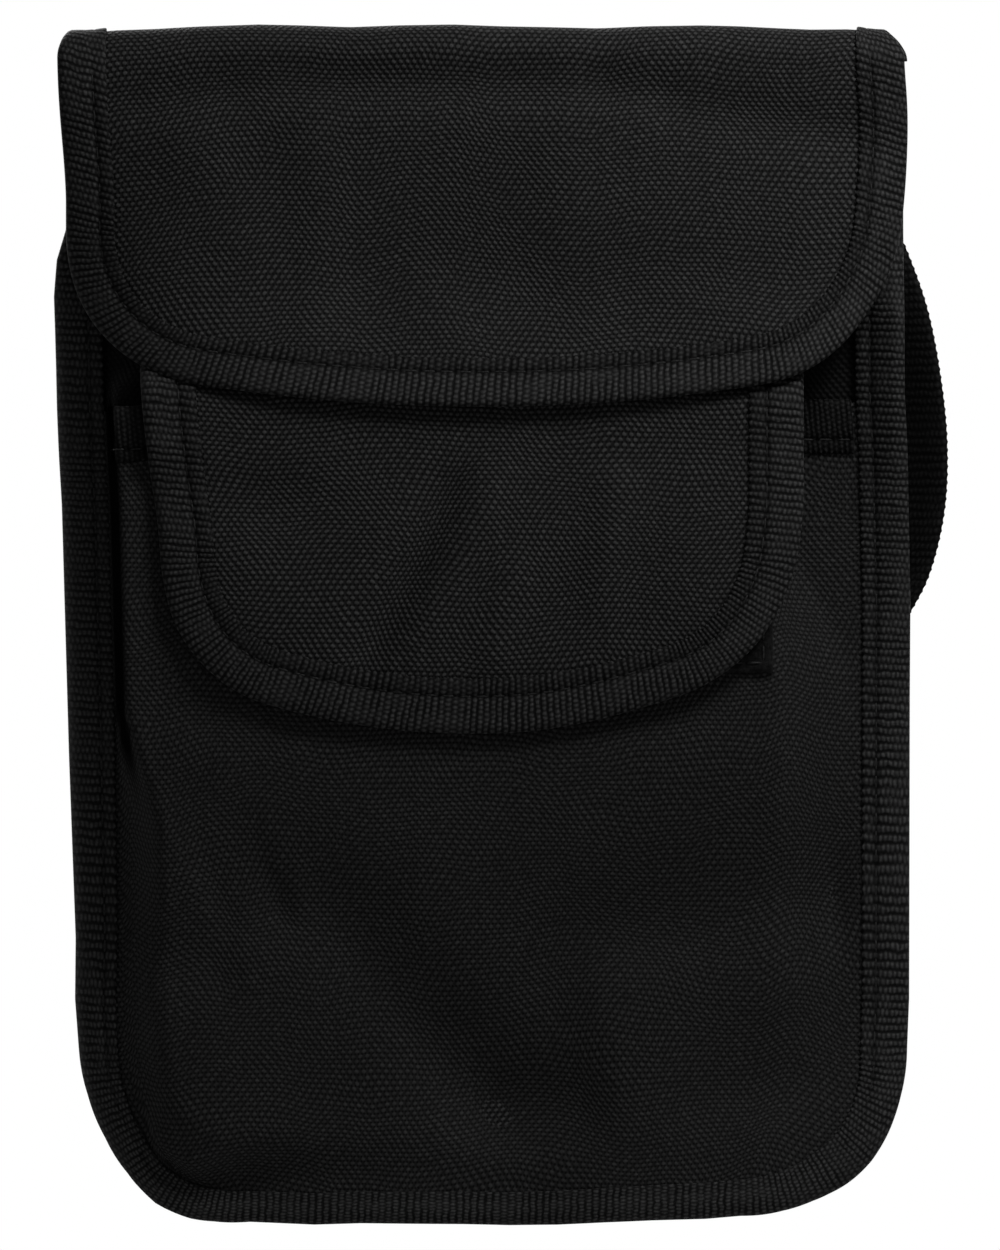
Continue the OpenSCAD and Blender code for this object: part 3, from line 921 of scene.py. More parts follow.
@dataclass(frozen=True)
class Tape:
    """Ribbed tape folded over an edge, with a groove under its row of stitches, and painted shade in that
    groove, along its selvedge, beyond the stitches and under its legs.

    Shares scale the front leg's width by distance along the edge, where the tape was sewn off centre.
    """

    width: float = 8.0
    thick: float = 0.5
    gap: float = 0.05
    rim: float = 1.2
    rib: float = 1.16
    rib_height: float = 0.1
    rings_per_rib: int = 4
    slant: float = 0.22
    crown: float = 0.1
    stitch_in: float = 2.3
    groove: float = 0.4
    groove_half: float = 0.34
    scallop: float = 0.14
    shares: Table = ((0.0, 1.0),)
    pitches: Table = ((0.0, 1.0),)
    smooth: Table = ((0.0, 0.0),)
    pressed: float = 0.0
    press_fade: float = 8.0
    selvedge_thick: float = 0.7
    outer_rib: float = 1.35
    groove_rib: float = 0.65
    # Painted shade: in the stitch groove, along the selvedge, beyond the stitches and under the legs.
    groove_shade: float = 0.7
    selvedge_shade: float = 0.5
    outer_shade: float = 0.22
    under_shade: float = 0.8
    shade_reach: float = 1.3
    outer_from: float = 0.8
    near_row: tuple[float, ...] = (1.5, 0.7, 0.34, 0.0, -0.34, -0.7, -1.5)
    leg_step: float = 0.9
    selvedge_step: float = 0.25
    rim_points: int = 7
    wander: tuple[tuple[float, float, float], ...] = ((0.16, 6.1, 0.0), (0.09, 2.3, 1.0), (0.3, 23.0, 0.0))

    def relief(self, s: Numbers, length: float) -> Numbers:
        """Share of the ribs' height that is left where the tape is worn smooth or its ends are pressed.

        Args:
            s: Distances along the edge.
            length: The edge's length.

        Returns:
            The shares.
        """
        left = 1 - read(self.smooth, s)
        if not self.pressed:
            return left
        from_end = np.minimum(s, length - s)
        return left * (PRESSED_RELIEF + (1 - PRESSED_RELIEF) * ramp(from_end, self.pressed, self.press_fade))

    def row(self, s: Numbers) -> Numbers:
        """How far inside the edge the stitches run."""
        return (self.width - self.stitch_in) * read(self.shares, s)

    @property
    def row_lift(self) -> float:
        """How high the stitches lie over the cloth's face, low in the groove."""
        return self.gap + self.thick - self.groove + 0.04

    def ribs(self, s: Numbers) -> Numbers:
        """Distance along the tape's own ribs, which are uneven and drawn out or pushed up in places.

        Args:
            s: Distances along the edge.

        Returns:
            Distances along the ribs.
        """
        places = spaced(0.0, max(float(np.max(s)), 1.0), 0.5)
        steps = np.diff(places) * 2 / (read(self.pitches, places[1:]) + read(self.pitches, places[:-1]))
        drawn = np.interp(s, places, np.concatenate([[0.0], np.cumsum(steps)]))
        for reach, run, start in self.wander:
            drawn = drawn + reach * np.sin(s / run + start)
        return drawn

    def legs(self) -> list[float]:
        """Insets across one leg, from the selvedge to the rim, close together at the groove.

        Returns:
            The insets.
        """
        row = self.width - self.stitch_in
        rest = spaced(row + self.near_row[-1], self.rim, self.leg_step)[1:]
        return [self.width, self.width - self.selvedge_step, *(row + step for step in self.near_row), *rest]

    def build(self, name: str, edge: Edge, front: Face, back: Face) -> bpy.types.Object:
        """Makes the tape along an edge.

        Args:
            name: The piece's name.
            edge: The bound edge.
            front: The cloth's face under the front leg.
            back: The cloth's face under the back leg.

        Returns:
            The new object.
        """
        s = spaced(0.0, edge.length, self.rib / self.rings_per_rib)
        insets = self.legs()
        lines = [(inset, *self._leg_line(edge, front, s, inset)) for inset in insets]
        for turn in np.linspace(0, math.pi, self.rim_points)[1:-1]:
            inset = self.rim * (1 - math.sin(turn))
            lines.append((inset, *self._rim_line(edge, (front, back), s, inset, math.cos(turn))))
        lines += [(inset, *self._leg_line(edge, back, s, inset)) for inset in reversed(insets)]
        columns, weave = [], []
        crossed, previous = 0.0, insets[0]
        for inset, line, hollow in lines:
            crossed += max(abs(inset - previous), self.selvedge_step)
            previous = inset
            columns.append(line)
            drawn = np.linalg.norm(np.gradient(line, s, axis=0), axis=1) / MM - 1
            # Painted shade where the tape runs steeply.
            hollow = np.maximum(hollow, painted_steep_shade(drawn))
            weave.append(np.stack(np.broadcast_arrays(self.ribs(s), crossed, hollow), -1))
        half = self.width / 2
        for inset, face in ((self.width, back), (half, back), (half, front), (self.width, front)):
            columns.append(face.at(*self._under(edge, s, inset), self.gap))
            # The tape's underside takes painted shade.
            weave.append(np.stack(np.broadcast_arrays(self.ribs(s), inset, self.under_shade), -1))
        return mesh_piece(name, np.stack(columns, 1), tube_faces(len(s), len(columns)), np.stack(weave, 1))

    def _under(self, edge: Edge, s: Numbers, inset: Numbers | float) -> tuple[Numbers, Numbers]:
        """Pattern places on a line of the tape, whose ribs slant more beside the edge's ends.

        Args:
            edge: The bound edge.
            s: Distances along it.
            inset: Distance inside it.

        Returns:
            The places across and up the cloth.
        """
        middle = bell(s / edge.length, 0.5, 0.22)
        slid = np.clip(s + self.slant * (1 - 0.7 * middle) * inset, 0, edge.length)
        return edge.at(slid, inset * read(self.shares, s))

    def _ridge(self, s: Numbers, relief: Numbers) -> Numbers:
        """How far each place lies up the ribs, from -1 to 1 where their relief is whole."""
        return np.cos(2 * math.pi * self.ribs(s) / self.rib) * relief

    def _rim_line(
        self, edge: Edge, faces: tuple[Face, Face], s: Numbers, inset: float, round_share: float
    ) -> tuple[Numbers, Numbers]:
        """One line of the tape's rounded rim.

        Args:
            edge: The bound edge.
            faces: The cloth's faces under the front leg and the back leg.
            s: Distances along the edge.
            inset: How far inside the edge the line runs.
            round_share: Place on the rim, from 1 at the front to -1 at the back.

        Returns:
            Points of the line in metres, and how smooth it is.
        """
        relief = self.relief(s, edge.length)
        x, v = self._under(edge, s, inset)
        over, under = (face.level(x, v) for face in faces)
        half = (over - under) / 2 + self.gap + self.thick + self.rib_height * self._ridge(s, relief)
        return faces[0].place(x, v, (over + under) / 2 + round_share * half), relief - 1

    def _leg_line(self, edge: Edge, face: Face, s: Numbers, inset: float) -> tuple[Numbers, Numbers]:
        """One line of a leg's outer face.

        Args:
            edge: The bound edge.
            face: The cloth's face under the leg.
            s: Distances along the edge.
            inset: How far inside the edge the line runs.

        Returns:
            Points of the line in metres, and its painted shade or how smooth it is.
        """
        relief = self.relief(s, edge.length)
        ridge = self._ridge(s, relief)
        rib = self.rib_height * ridge
        selvedge = inset > self.width - self.selvedge_step / 2
        scalloped = inset > self.width - 2 * self.selvedge_step
        x, v = self._under(edge, s, inset + self.scallop * ridge * scalloped)
        from_row = (self.width - self.stitch_in - inset) / self.groove_half
        beyond = from_row < -self.outer_from
        arch = self.crown * math.sin(math.pi * min(inset / (self.width - self.stitch_in), 1.0))
        lift = self.gap + self.thick * (self.selvedge_thick if selvedge else 1.0) + arch
        lift = lift + (self.outer_rib if beyond else 1.0) * rib
        lift = lift - math.exp(-(from_row**2)) * (self.groove * relief + self.groove_rib * rib)
        # Painted shade in the stitch groove, along the selvedge and on the strip beyond the stitches.
        painted_strip_shade = self.selvedge_shade if selvedge else self.outer_shade if beyond else 0.0
        hollow = max(self.groove_shade * math.exp(-((from_row / self.shade_reach) ** 2)), painted_strip_shade) + relief - 1
        return face.at(x, v, lift), hollow


@dataclass(frozen=True)
class Stitching:
    """Row of thread stitches, each a short rounded bar that dips at both ends."""

    pitch: float = 3.0
    length: float = 2.5
    radius: float = 0.19
    dip: float = 0.22
    taper: float = 0.72
    least: float = 0.05
    sides: int = 6
    rings: int = 6

    def build(self, name: str, seams: Sequence[Seam]) -> bpy.types.Object:
        """Makes one or more rows of stitches as one piece.

        Args:
            name: The piece's name.
            seams: For each row its length, after a function from distances along it and a lift to points.

        Returns:
            The new object.
        """
        u = np.linspace(-1, 1, self.rings)
        turn = np.linspace(0, 2 * math.pi, self.sides, endpoint=False)
        sunk = -self.dip * u**4
        thick = self.radius * MM * np.sqrt(np.maximum(1 - self.taper * u**6, self.least))
        bodies = []
        for row, length in seams:
            count = max(1, int(length / self.pitch))
            middles = (np.arange(count) + 0.5) * length / count
            s = middles[:, None] + u * self.length / 2
            low = row(s, 0.0)
            out = unit(row(s, 0.1) - low)
            centre = low + out * (sunk * MM)[:, None]
            along = unit(np.gradient(centre, axis=1))
            side = unit(np.cross(along, out))
            ring = out[:, :, None] * np.sin(turn)[:, None] + side[:, :, None] * np.cos(turn)[:, None]
            bodies.append((centre[:, :, None] + ring * thick[:, None, None]).reshape(-1, 3))
        points = np.concatenate(bodies)
        size = self.rings * self.sides
        faces = [f for i in range(len(points) // size) for f in tube_faces(self.rings, self.sides, i * size)]
        return mesh_piece(name, points, faces, np.zeros((len(points), 2)))


def seam_row(edge: Edge, inset: Callable[[Numbers], Numbers], face: Face) -> Seam:
    """A row along an edge for Stitching.

    Args:
        edge: The sewn edge.
        inset: The row's distance inside it, by distance along it.
        face: The face that the row lies on.

    Returns:
        Function from distances and a lift to points in metres, and the row's length.
    """

    def points(s: Numbers, lift: float) -> Numbers:
        """Points of the row, lifted off its face."""
        return face.at(*edge.at(s, inset(s)), lift)

    return points, edge.length


def line_row(start: Sequence[float], end: Sequence[float], face: Face) -> Seam:
    """A straight row between two pattern places for Stitching."""
    row, _ = seam_row(straight(start, end, (0, 0)), np.zeros_like, face)
    return row, math.dist(start, end)


def box_rows(corners: Sequence[Sequence[float]], face: Face, crossed: bool = False) -> list[Seam]:
    """Rows round a rectangle for Stitching, with its diagonals if they are wanted.

    Args:
        corners: The rectangle's lowest and highest corner on the pattern.
        face: The face that the rows lie on.
        crossed: Whether two diagonals cross the rectangle.

    Returns:
        The rows with their lengths.
    """
    low, high = corners
    a, b, c, d = (low[0], low[1]), (high[0], low[1]), (high[0], high[1]), (low[0], high[1])
    lines = [(a, b), (b, c), (c, d), (d, a)] + ([(a, c), (b, d)] if crossed else [])
    return [line_row(p, q, face) for p, q in lines]


def drawn_in(low: Vector, high: Vector, inset: float) -> tuple[tuple[float, float], tuple[float, float]]:
    """Lowest and highest corner of a box on the pattern, drawn in by inset."""
    return (low.x + inset, low.z + inset), (high.x - inset, high.z - inset)


def bind_edge(
    name: str,
    tape: Tape,
    edge: Edge,
    faces: tuple[Face, Face],
    materials: tuple[bpy.types.Material, bpy.types.Material],
    carrier: Body | Bend,
    node: str,
    more: Sequence[Seam] = (),
) -> None:
    """Sews tape over an edge, with a row of stitches on each of its legs.

    Args:
        name: First words of both pieces' names.
        tape: The tape.
        edge: The bound edge.
        faces: The cloth's faces under the front leg and the back leg.
        materials: Finishes of the tape and of the thread.
        carrier: The body that both pieces ride on, or the bend between two bodies.
        node: Frame node that the tape replaces.
        more: Further rows of the same thread.
    """
    dress(tape.build(f"{name}_tape", edge, *faces), materials[0], carrier, [node])
    rows = [seam_row(edge, tape.row, face.raised(tape.row_lift)) for face in faces]
    stitches = Stitching().build(f"{name}_stitches", [*rows, *more])
    dress(stitches, materials[1], carrier)


# Pouch


@dataclass(frozen=True)
class PouchShape:
    """The sewn body: its outline, its layers in depth, and how it lies."""

    half: float
    floor: float
    fold: float
    corner: float = 28.0
    seam_face: float = 2.3
    front_seam: float = 1.55
    front_flat: float = 6.4
    pocket_flat: float = 12.0
    cloth: float = 0.7
    layer_inset: float = TAPED_INSET
    tape_width: float = 8.0
    swell_start: float = 8.4
    swell_run: float = 15.0
    bottom_roll: float = -0.1
    left_roll: float = 0.85
    right_roll: Table = (
        (-200, 0.3), (-110, 0.3), (-92, 0.0), (-78, -0.3), (-62, -0.6), (-48, -0.65), (-34, 0.0),
    )
    bottom_lift: float = 4.4
    right_lift: float = 2.6
    mouth_drop: float = 1.8
    thinning: float = 0.55
    low_thinning: float = 0.33
    mouth_slack: float = 11.0
    roll_from: float = 9.5
    roll_ease: float = 3.0
    columns: int = 145
    crowding: float = 0.25
    row_step: float = 1.8
    front_clear: float = 1.3
    left_edge: Table = (
        (-200, 3.2), (-190, 3.4), (-183, 4.0), (-176, 3.8), (-168, 3.1), (-160, 2.5), (-150, 2.6),
        (-120, 1.5), (-94, 0.75), (-78, 0.3), (-69, -0.15), (-61, -0.5), (-53, -0.7), (-44, -0.85),
        (-38, -0.3), (-33, 1.2),
    )
    right_edge: Table = (
        (-200, -0.3), (-176, -0.25), (-168, 0.0), (-160, 0.35), (-94, 0.5), (-69, -0.1), (-60, -0.6),
        (0, -0.8),
    )
    bottom_edge: Table = (
        (-70, 0), (-62, 0.1), (-57, -0.85), (-51, -0.5), (-47, 0.05), (-41, 0.45), (-30, 0.05), (-22, 0.35),
        (-5, 0.25), (3, 0.1), (11, 0.25), (19, 0.7), (27, 1.05), (36, 1.3), (42, 1.8), (49, 1.7), (54, 1.4),
        (57, 1.0), (60, 0.45), (64, -0.1), (67, -0.1), (70, 0.4),
    )
    folds: tuple[Bulge | Crease, ...] = (
        Crease((-56, -154), (-44, -152), 6.0, -1.9, far=10.0),
        Crease((-44, -148), (-34, -144), 5.0, -1.8, far=13.0),
        Bulge(-43, -171, 13, 13, 1.2),
        Bulge(-50, -182, 22, 26, 2.6),
        Crease((-32, -140), (3, -181), 7.5, -2.5, far=10.0),
        Crease((-4, -178), (18, -179), 7.0, -1.6),
        Crease((19, -153), (22, -179), 6.5, 2.4, far=13.0),
        Crease((8, -154), (58, -139), 10.0, -3.2, far=16.0),
        Bulge(57, -144, 10, 11, -1.8),
        Crease((-52, -117), (-42, -122), 5.0, 0.7),
        Crease((-51, -102), (-38, -114), 5.0, 1.0),
        Bulge(-4, -118, 42, 8, 1.0),
    )

    @property
    def corner_x(self) -> float:
        """Sideways place of the right bottom corner's centre."""
        return self.half - self.corner

    @property
    def corner_z(self) -> float:
        """Height of the bottom corners' centres."""
        return self.floor + self.corner

    def edge(self, top: float) -> Edge:
        """The bound edge, from the top left down, round the bottom and up to the top right.

        Args:
            top: Height of its ends.

        Returns:
            The edge.
        """
        cx, cz = self.corner_x, self.corner_z
        return joined([
            straight((-self.half, top), (-self.half, cz), (1, 0)),
            arc((-cx, cz), self.corner, 180, 270),
            straight((-cx, self.floor), (cx, self.floor), (0, 1)),
            arc((cx, cz), self.corner, 270, 360),
            straight((self.half, cz), (self.half, top), (-1, 0)),
        ])

    def grid(self, top: float) -> tuple[Numbers, Numbers]:
        """Rows of pattern points from the top to the bottom seam, closer together beside the side seams.

        Args:
            top: Height of the first row.

        Returns:
            The places across and up, as grids.
        """
        r, cx, cz = self.corner - self.layer_inset, self.corner_x, self.corner_z
        turn = np.radians(spaced(180, 270, math.degrees(self.row_step / r)))[1:]
        rows = np.concatenate([spaced(top, cz, self.row_step), cz + r * np.sin(turn)])
        half = np.concatenate([np.full(len(rows) - len(turn), cx + r), cx - r * np.cos(turn)])
        share = np.linspace(-1, 1, self.columns)
        x = half[:, None] * ((1 + self.crowding) * share - self.crowding * share**3)
        return x, np.repeat(rows[:, None], self.columns, 1)

    def inside(self, x: Numbers, z: Numbers) -> Numbers:
        """How far a place lies inside the side and bottom seams.

        Args:
            x: Places across.
            z: Heights.

        Returns:
            The distances.
        """
        qx, qz = np.abs(x) - self.corner_x, self.corner_z - z
        round_part = np.hypot(np.maximum(qx, 0), np.maximum(qz, 0))
        return self.corner - round_part - np.minimum(np.maximum(qx, qz), 0)

    def swell(self, x: Numbers, z: Numbers) -> Numbers:
        """Share of its full depth that a front panel has.

        It rises steeply beside the left seam, and lies slack at the right of the mouth.

        Args:
            x: Places across.
            z: Heights.

        Returns:
            The shares.
        """
        left_wall = ramp(-x, 40, 12) * ramp(-z, 50, 10)
        steep = left_wall * (0.55 + 0.45 * ramp(z, -134, 26))
        at_bottom = ramp(-z, 172, 12)
        right_of_mouth = self.mouth_slack * ramp(x, 38, 14) * ramp(z, -110, 30)
        start = self.swell_start - 2.0 * at_bottom - 0.5 * steep + right_of_mouth
        return ramp(self.inside(x, z), start, self.swell_run - 12.6 * steep - 6.0 * at_bottom)

    def front_face(self, x: Numbers, z: Numbers) -> Numbers:
        """Depth of the front panel's outer face, which stays behind the pocket."""
        level = self.front_seam + (self.front_flat - self.front_seam) * self.swell(x, z)
        return np.minimum(level, self.pocket_face(x, z) - self.front_clear * self.cloth)

    def pocket_face(self, x: Numbers, z: Numbers) -> Numbers:
        """Depth of the front pocket's outer face, which thins towards the bottom, with its folds.

        Args:
            x: Places across.
            z: Heights.

        Returns:
            The depths.
        """
        thin = self.low_thinning * ramp(-z, 158, 30) * (0.1 + 0.9 * ramp(x, -52, 30))
        fullness = 1 - self.thinning * ramp(-z, 128, 50) - thin
        rise = (self.pocket_flat - self.seam_face) * self.swell(x, z) * fullness
        clear_of_seam = ramp(self.inside(x, z), 7.5, 7)
        return self.seam_face + rise + sculpted(self.folds, x, z) * clear_of_seam

    def lie(self, x: Numbers, z: Numbers, depth: Numbers) -> Numbers:
        """Lays pattern places in the frame.

        The edges wander, the side seams roll and the bottom bends forward.

        Args:
            x: Places across.
            z: Heights.
            depth: Depths in front of the rear face.

        Returns:
            Points in metres.
        """
        leftness = (self.half - x) / (2 * self.half)
        lean = read(self.left_edge, z) * leftness + read(self.right_edge, z) * (1 - leftness)
        rise = read(self.bottom_edge, x) * ramp(-z, 150, 40)
        rise = rise - self.mouth_drop * ramp(-x, 44, 14) * bell(z, -66, 9)
        from_floor = np.maximum(self.floor + self.roll_from - z, 0)
        from_side = np.maximum(self.roll_from - self.half + np.abs(x), 0)
        side_roll = np.where(x < 0, self.left_roll * ramp(-z, 36, 20), read(self.right_roll, z))
        roll = self.bottom_roll * from_floor**2 / (from_floor + self.roll_ease)
        roll = roll + side_roll * from_side**2 / (from_side + self.roll_ease)
        bent = 0.15 + 0.85 * ramp(x, -45, 35) + 0.3 * ramp(x, 5, 20)
        roll = roll - self.bottom_lift * ramp(-z, 160, 33) * bent
        low_right = ramp(-z, 174, 16)
        roll = roll - self.right_lift * low_right * ramp(x, -4, 26) * ramp(-x, -58, 14)
        return np.stack(np.broadcast_arrays(x + lean, roll - depth, z + rise), -1) * MM


@dataclass(frozen=True)
class PouchBody:
    """Rear panel, front panel and front pocket with their bindings and loop strips."""

    shape: PouchShape
    finish: Wardrobe
    main_mouth: float = -10.0
    pocket_mouth: float = -61.5
    rear_cloth: float = 0.8
    mouth_clear: float = 0.8
    stitch_sink: float = 0.15
    mouth_tape: Tape = Tape(width=9.0, rim=0.8, slant=0.05, pitches=((0, 0.76),))
    body_tape: Tape = Tape(
        rim=1.5,
        crown=0.45,
        slant=0.05,
        shares=(
            (0, 1), (110, 1), (145, 0.9), (165, 0.84), (190, 0.7),
            (208, 0.64), (250, 0.68), (292, 0.76), (315, 0.88), (336, 1),
        ),
        pitches=(
            (0, 1.1), (60, 1.03), (107, 1.02), (118, 1.19), (130, 1.32), (147, 1.38), (165, 1.12),
            (190, 1.02), (338, 1.04), (353, 1.27), (366, 1.38), (380, 1.32), (393, 1.11), (406, 1.03),
            (459, 0.98), (472, 1.2),
        ),
        smooth=((0, 0.1), (165, 0.1), (195, 0.86), (305, 0.86), (336, 0.1)),
    )

    def build(self) -> None:
        """Makes every piece of the body."""
        self._panels()
        self._binding()
        self._mouths()
        self._loop_strips()

    def _panels(self) -> None:
        """The three cloths between the seams."""
        shape, finish = self.shape, self.finish
        layers = (
            ("rear", -shape.fold, even(self.rear_cloth), self.rear_cloth, (), finish.cloth),
            # The front panel takes the dark copy of the cloth that holds painted shade.
            ("front", self.main_mouth, shape.front_face, shape.cloth, (), finish.inner),
            ("front_pocket", self.pocket_mouth, shape.pocket_face, shape.cloth, shape.folds, finish.panel),
        )
        for name, top, face, thick, folds, material in layers:
            x, z = shape.grid(top)
            outer = Face(shape.lie, face)
            piece = cloth_slab(f"{name}_cloth", outer, x, z, thick, drawn_threads(folds))
            dress(piece, material, Body.POUCH, [f"{name}_panel"])
            edge = shape.edge(top).with_inset(shape.layer_inset)

    def _binding(self) -> None:
        """Tape and stitches round the side and bottom seams."""
        shape = self.shape
        faces = (Face(shape.lie, even(shape.seam_face)), Face(shape.lie, even(0.0), -1.0))
        materials = (self.finish.tape, self.finish.thread)
        edge = shape.edge(-shape.fold)
        bind_edge("body_seam", self.body_tape, edge, faces, materials, Body.POUCH, "body_binding")

    def _mouths(self) -> None:
        """Tape and stitches over the two mouths."""
        shape = self.shape
        reach = shape.half - shape.tape_width - self.mouth_clear
        mouths = (
            ("main_mouth", self.main_mouth, shape.front_face),
            ("pocket_mouth", self.pocket_mouth, shape.pocket_face),
        )
        # The mouth tapes take the dark copy of the tape that holds painted shade.
        materials = (self.finish.mouth_tape, self.finish.thread)
        for name, top, level in mouths:
            rim = top + shape.layer_inset
            edge = straight((-reach, rim), (reach, rim), (0, -1))
            front = Face(shape.lie, level)
            faces = (front, front.turned(shape.cloth))
            bind_edge(name, self.mouth_tape, edge, faces, materials, Body.POUCH, f"{name}_binding")

    def _loop_strips(self) -> None:
        """The soft halves of both fastenings, each sewn round its border."""
        shape = self.shape
        for name, level in (("main_loop", shape.front_face), ("pocket_loop", shape.pocket_face)):
            node = f"{name}_strip"
            low, high = box_mm(node)
            thick = float(high.y - low.y)
            face = Face(shape.lie, level)
            strip = Pile(thick).build(f"{name}_pile", face, *drawn_in(low, high, 0.0))
            dress(strip, self.finish.loops, Body.POUCH, [node])
            seams = box_rows(drawn_in(low, high, Pile.border), face.raised(thick - self.stitch_sink))
            stitches = Stitching().build(f"{name}_stitches", seams)
            dress(stitches, self.finish.thread, Body.POUCH)


@dataclass(frozen=True)
class Pile:
    """Loop strip: a slab whose face is an uneven pile, lower along the sewn border."""

    thick: float
    step: float = 0.75
    fuzz: float = 0.22
    border: float = 1.6
    border_half: float = 0.5
    border_drop: float = 0.35
    rim_drop: float = 0.45

    def build(self, name: str, face: Face, low: Sequence[float], high: Sequence[float]) -> bpy.types.Object:
        """Makes the strip on a cloth's face.

        Args:
            name: The piece's name.
            face: The cloth's face under the strip.
            low: The strip's lowest corner on the pattern.
            high: Its highest corner.

        Returns:
            The new object.
        """
        columns, rows = spaced(low[0], high[0], self.step), spaced(high[1], low[1], self.step)
        x, z = np.meshgrid(columns, rows)
        rng = np.random.default_rng(SEED)
        fuzz = self.fuzz * rng.uniform(-1, 0.4, x.shape)
        from_rim = np.minimum.reduce([x - low[0], high[0] - x, z - low[1], high[1] - z])
        rim = np.where(from_rim < self.step / 2, self.rim_drop, 0.0)
        sewn = self.border_drop * bell(from_rim, self.border, self.border_half)
        points = both_faces(face, x, z, (LAYER_GAP + self.thick + fuzz - rim - sewn, LAYER_GAP))
        weave = np.tile(np.stack([x, z], -1).reshape(-1, 2), (2, 1))
        return mesh_piece(name, points, slab_faces(*x.shape), weave)


@dataclass(frozen=True)
class HookField:
    """Hook strip: a thin base with rows of small bent hooks on its inner face."""

    thick: float
    base: float = 0.5
    pitch_x: float = 1.5
    pitch_v: float = 1.35
    radius: float = 0.14
    base_step: float = 2.0
    margin: float = 2.4
    far_margin: float = 2.0
    hook_share: float = 0.92
    bend: Table = ((0.0, 0.0), (0.0, 0.55), (0.12, 0.9), (0.42, 1.0), (0.58, 0.72))

    def build(self, name: str, face: Face, low: Sequence[float], high: Sequence[float]) -> bpy.types.Object:
        """Makes the strip on a lining's inner face.

        Args:
            name: The piece's name.
            face: The lining's face.
            low: The strip's lowest corner on the pattern.
            high: Its highest corner.

        Returns:
            The new object.
        """
        x, v = np.meshgrid(spaced(low[0], high[0], self.base_step), spaced(high[1], low[1], self.base_step))
        slab = both_faces(face, x, v, (0.0, self.base))
        faces = slab_faces(*x.shape)
        hooks_x = np.arange(low[0] + self.margin, high[0] - self.far_margin, self.pitch_x)
        hooks_v = np.arange(low[1] + self.margin, high[1] - self.far_margin, self.pitch_v)
        at_x, at_v = (a.ravel() for a in np.meshgrid(hooks_x, hooks_v))
        tall = self.thick - self.base
        side = np.where(np.arange(len(at_x)) % 2 == 0, 1.0, -1.0)
        rings = []
        for reach, rise in self.bend:
            lift = self.base + tall * rise * self.hook_share
            for dx, dv in ((1, 0), (0, 1), (-1, 0), (0, -1)):
                rings.append(face.at(at_x + dx * self.radius, at_v + side * reach + dv * self.radius, lift))
        for i in range(len(at_x)):
            faces += tube_faces(len(self.bend), 4, len(slab) + i * len(rings))
        points = np.concatenate([slab, np.stack(rings, 1).reshape(-1, 3)])
        return mesh_piece(name, points, faces, np.zeros((len(points), 2)))


# Flaps


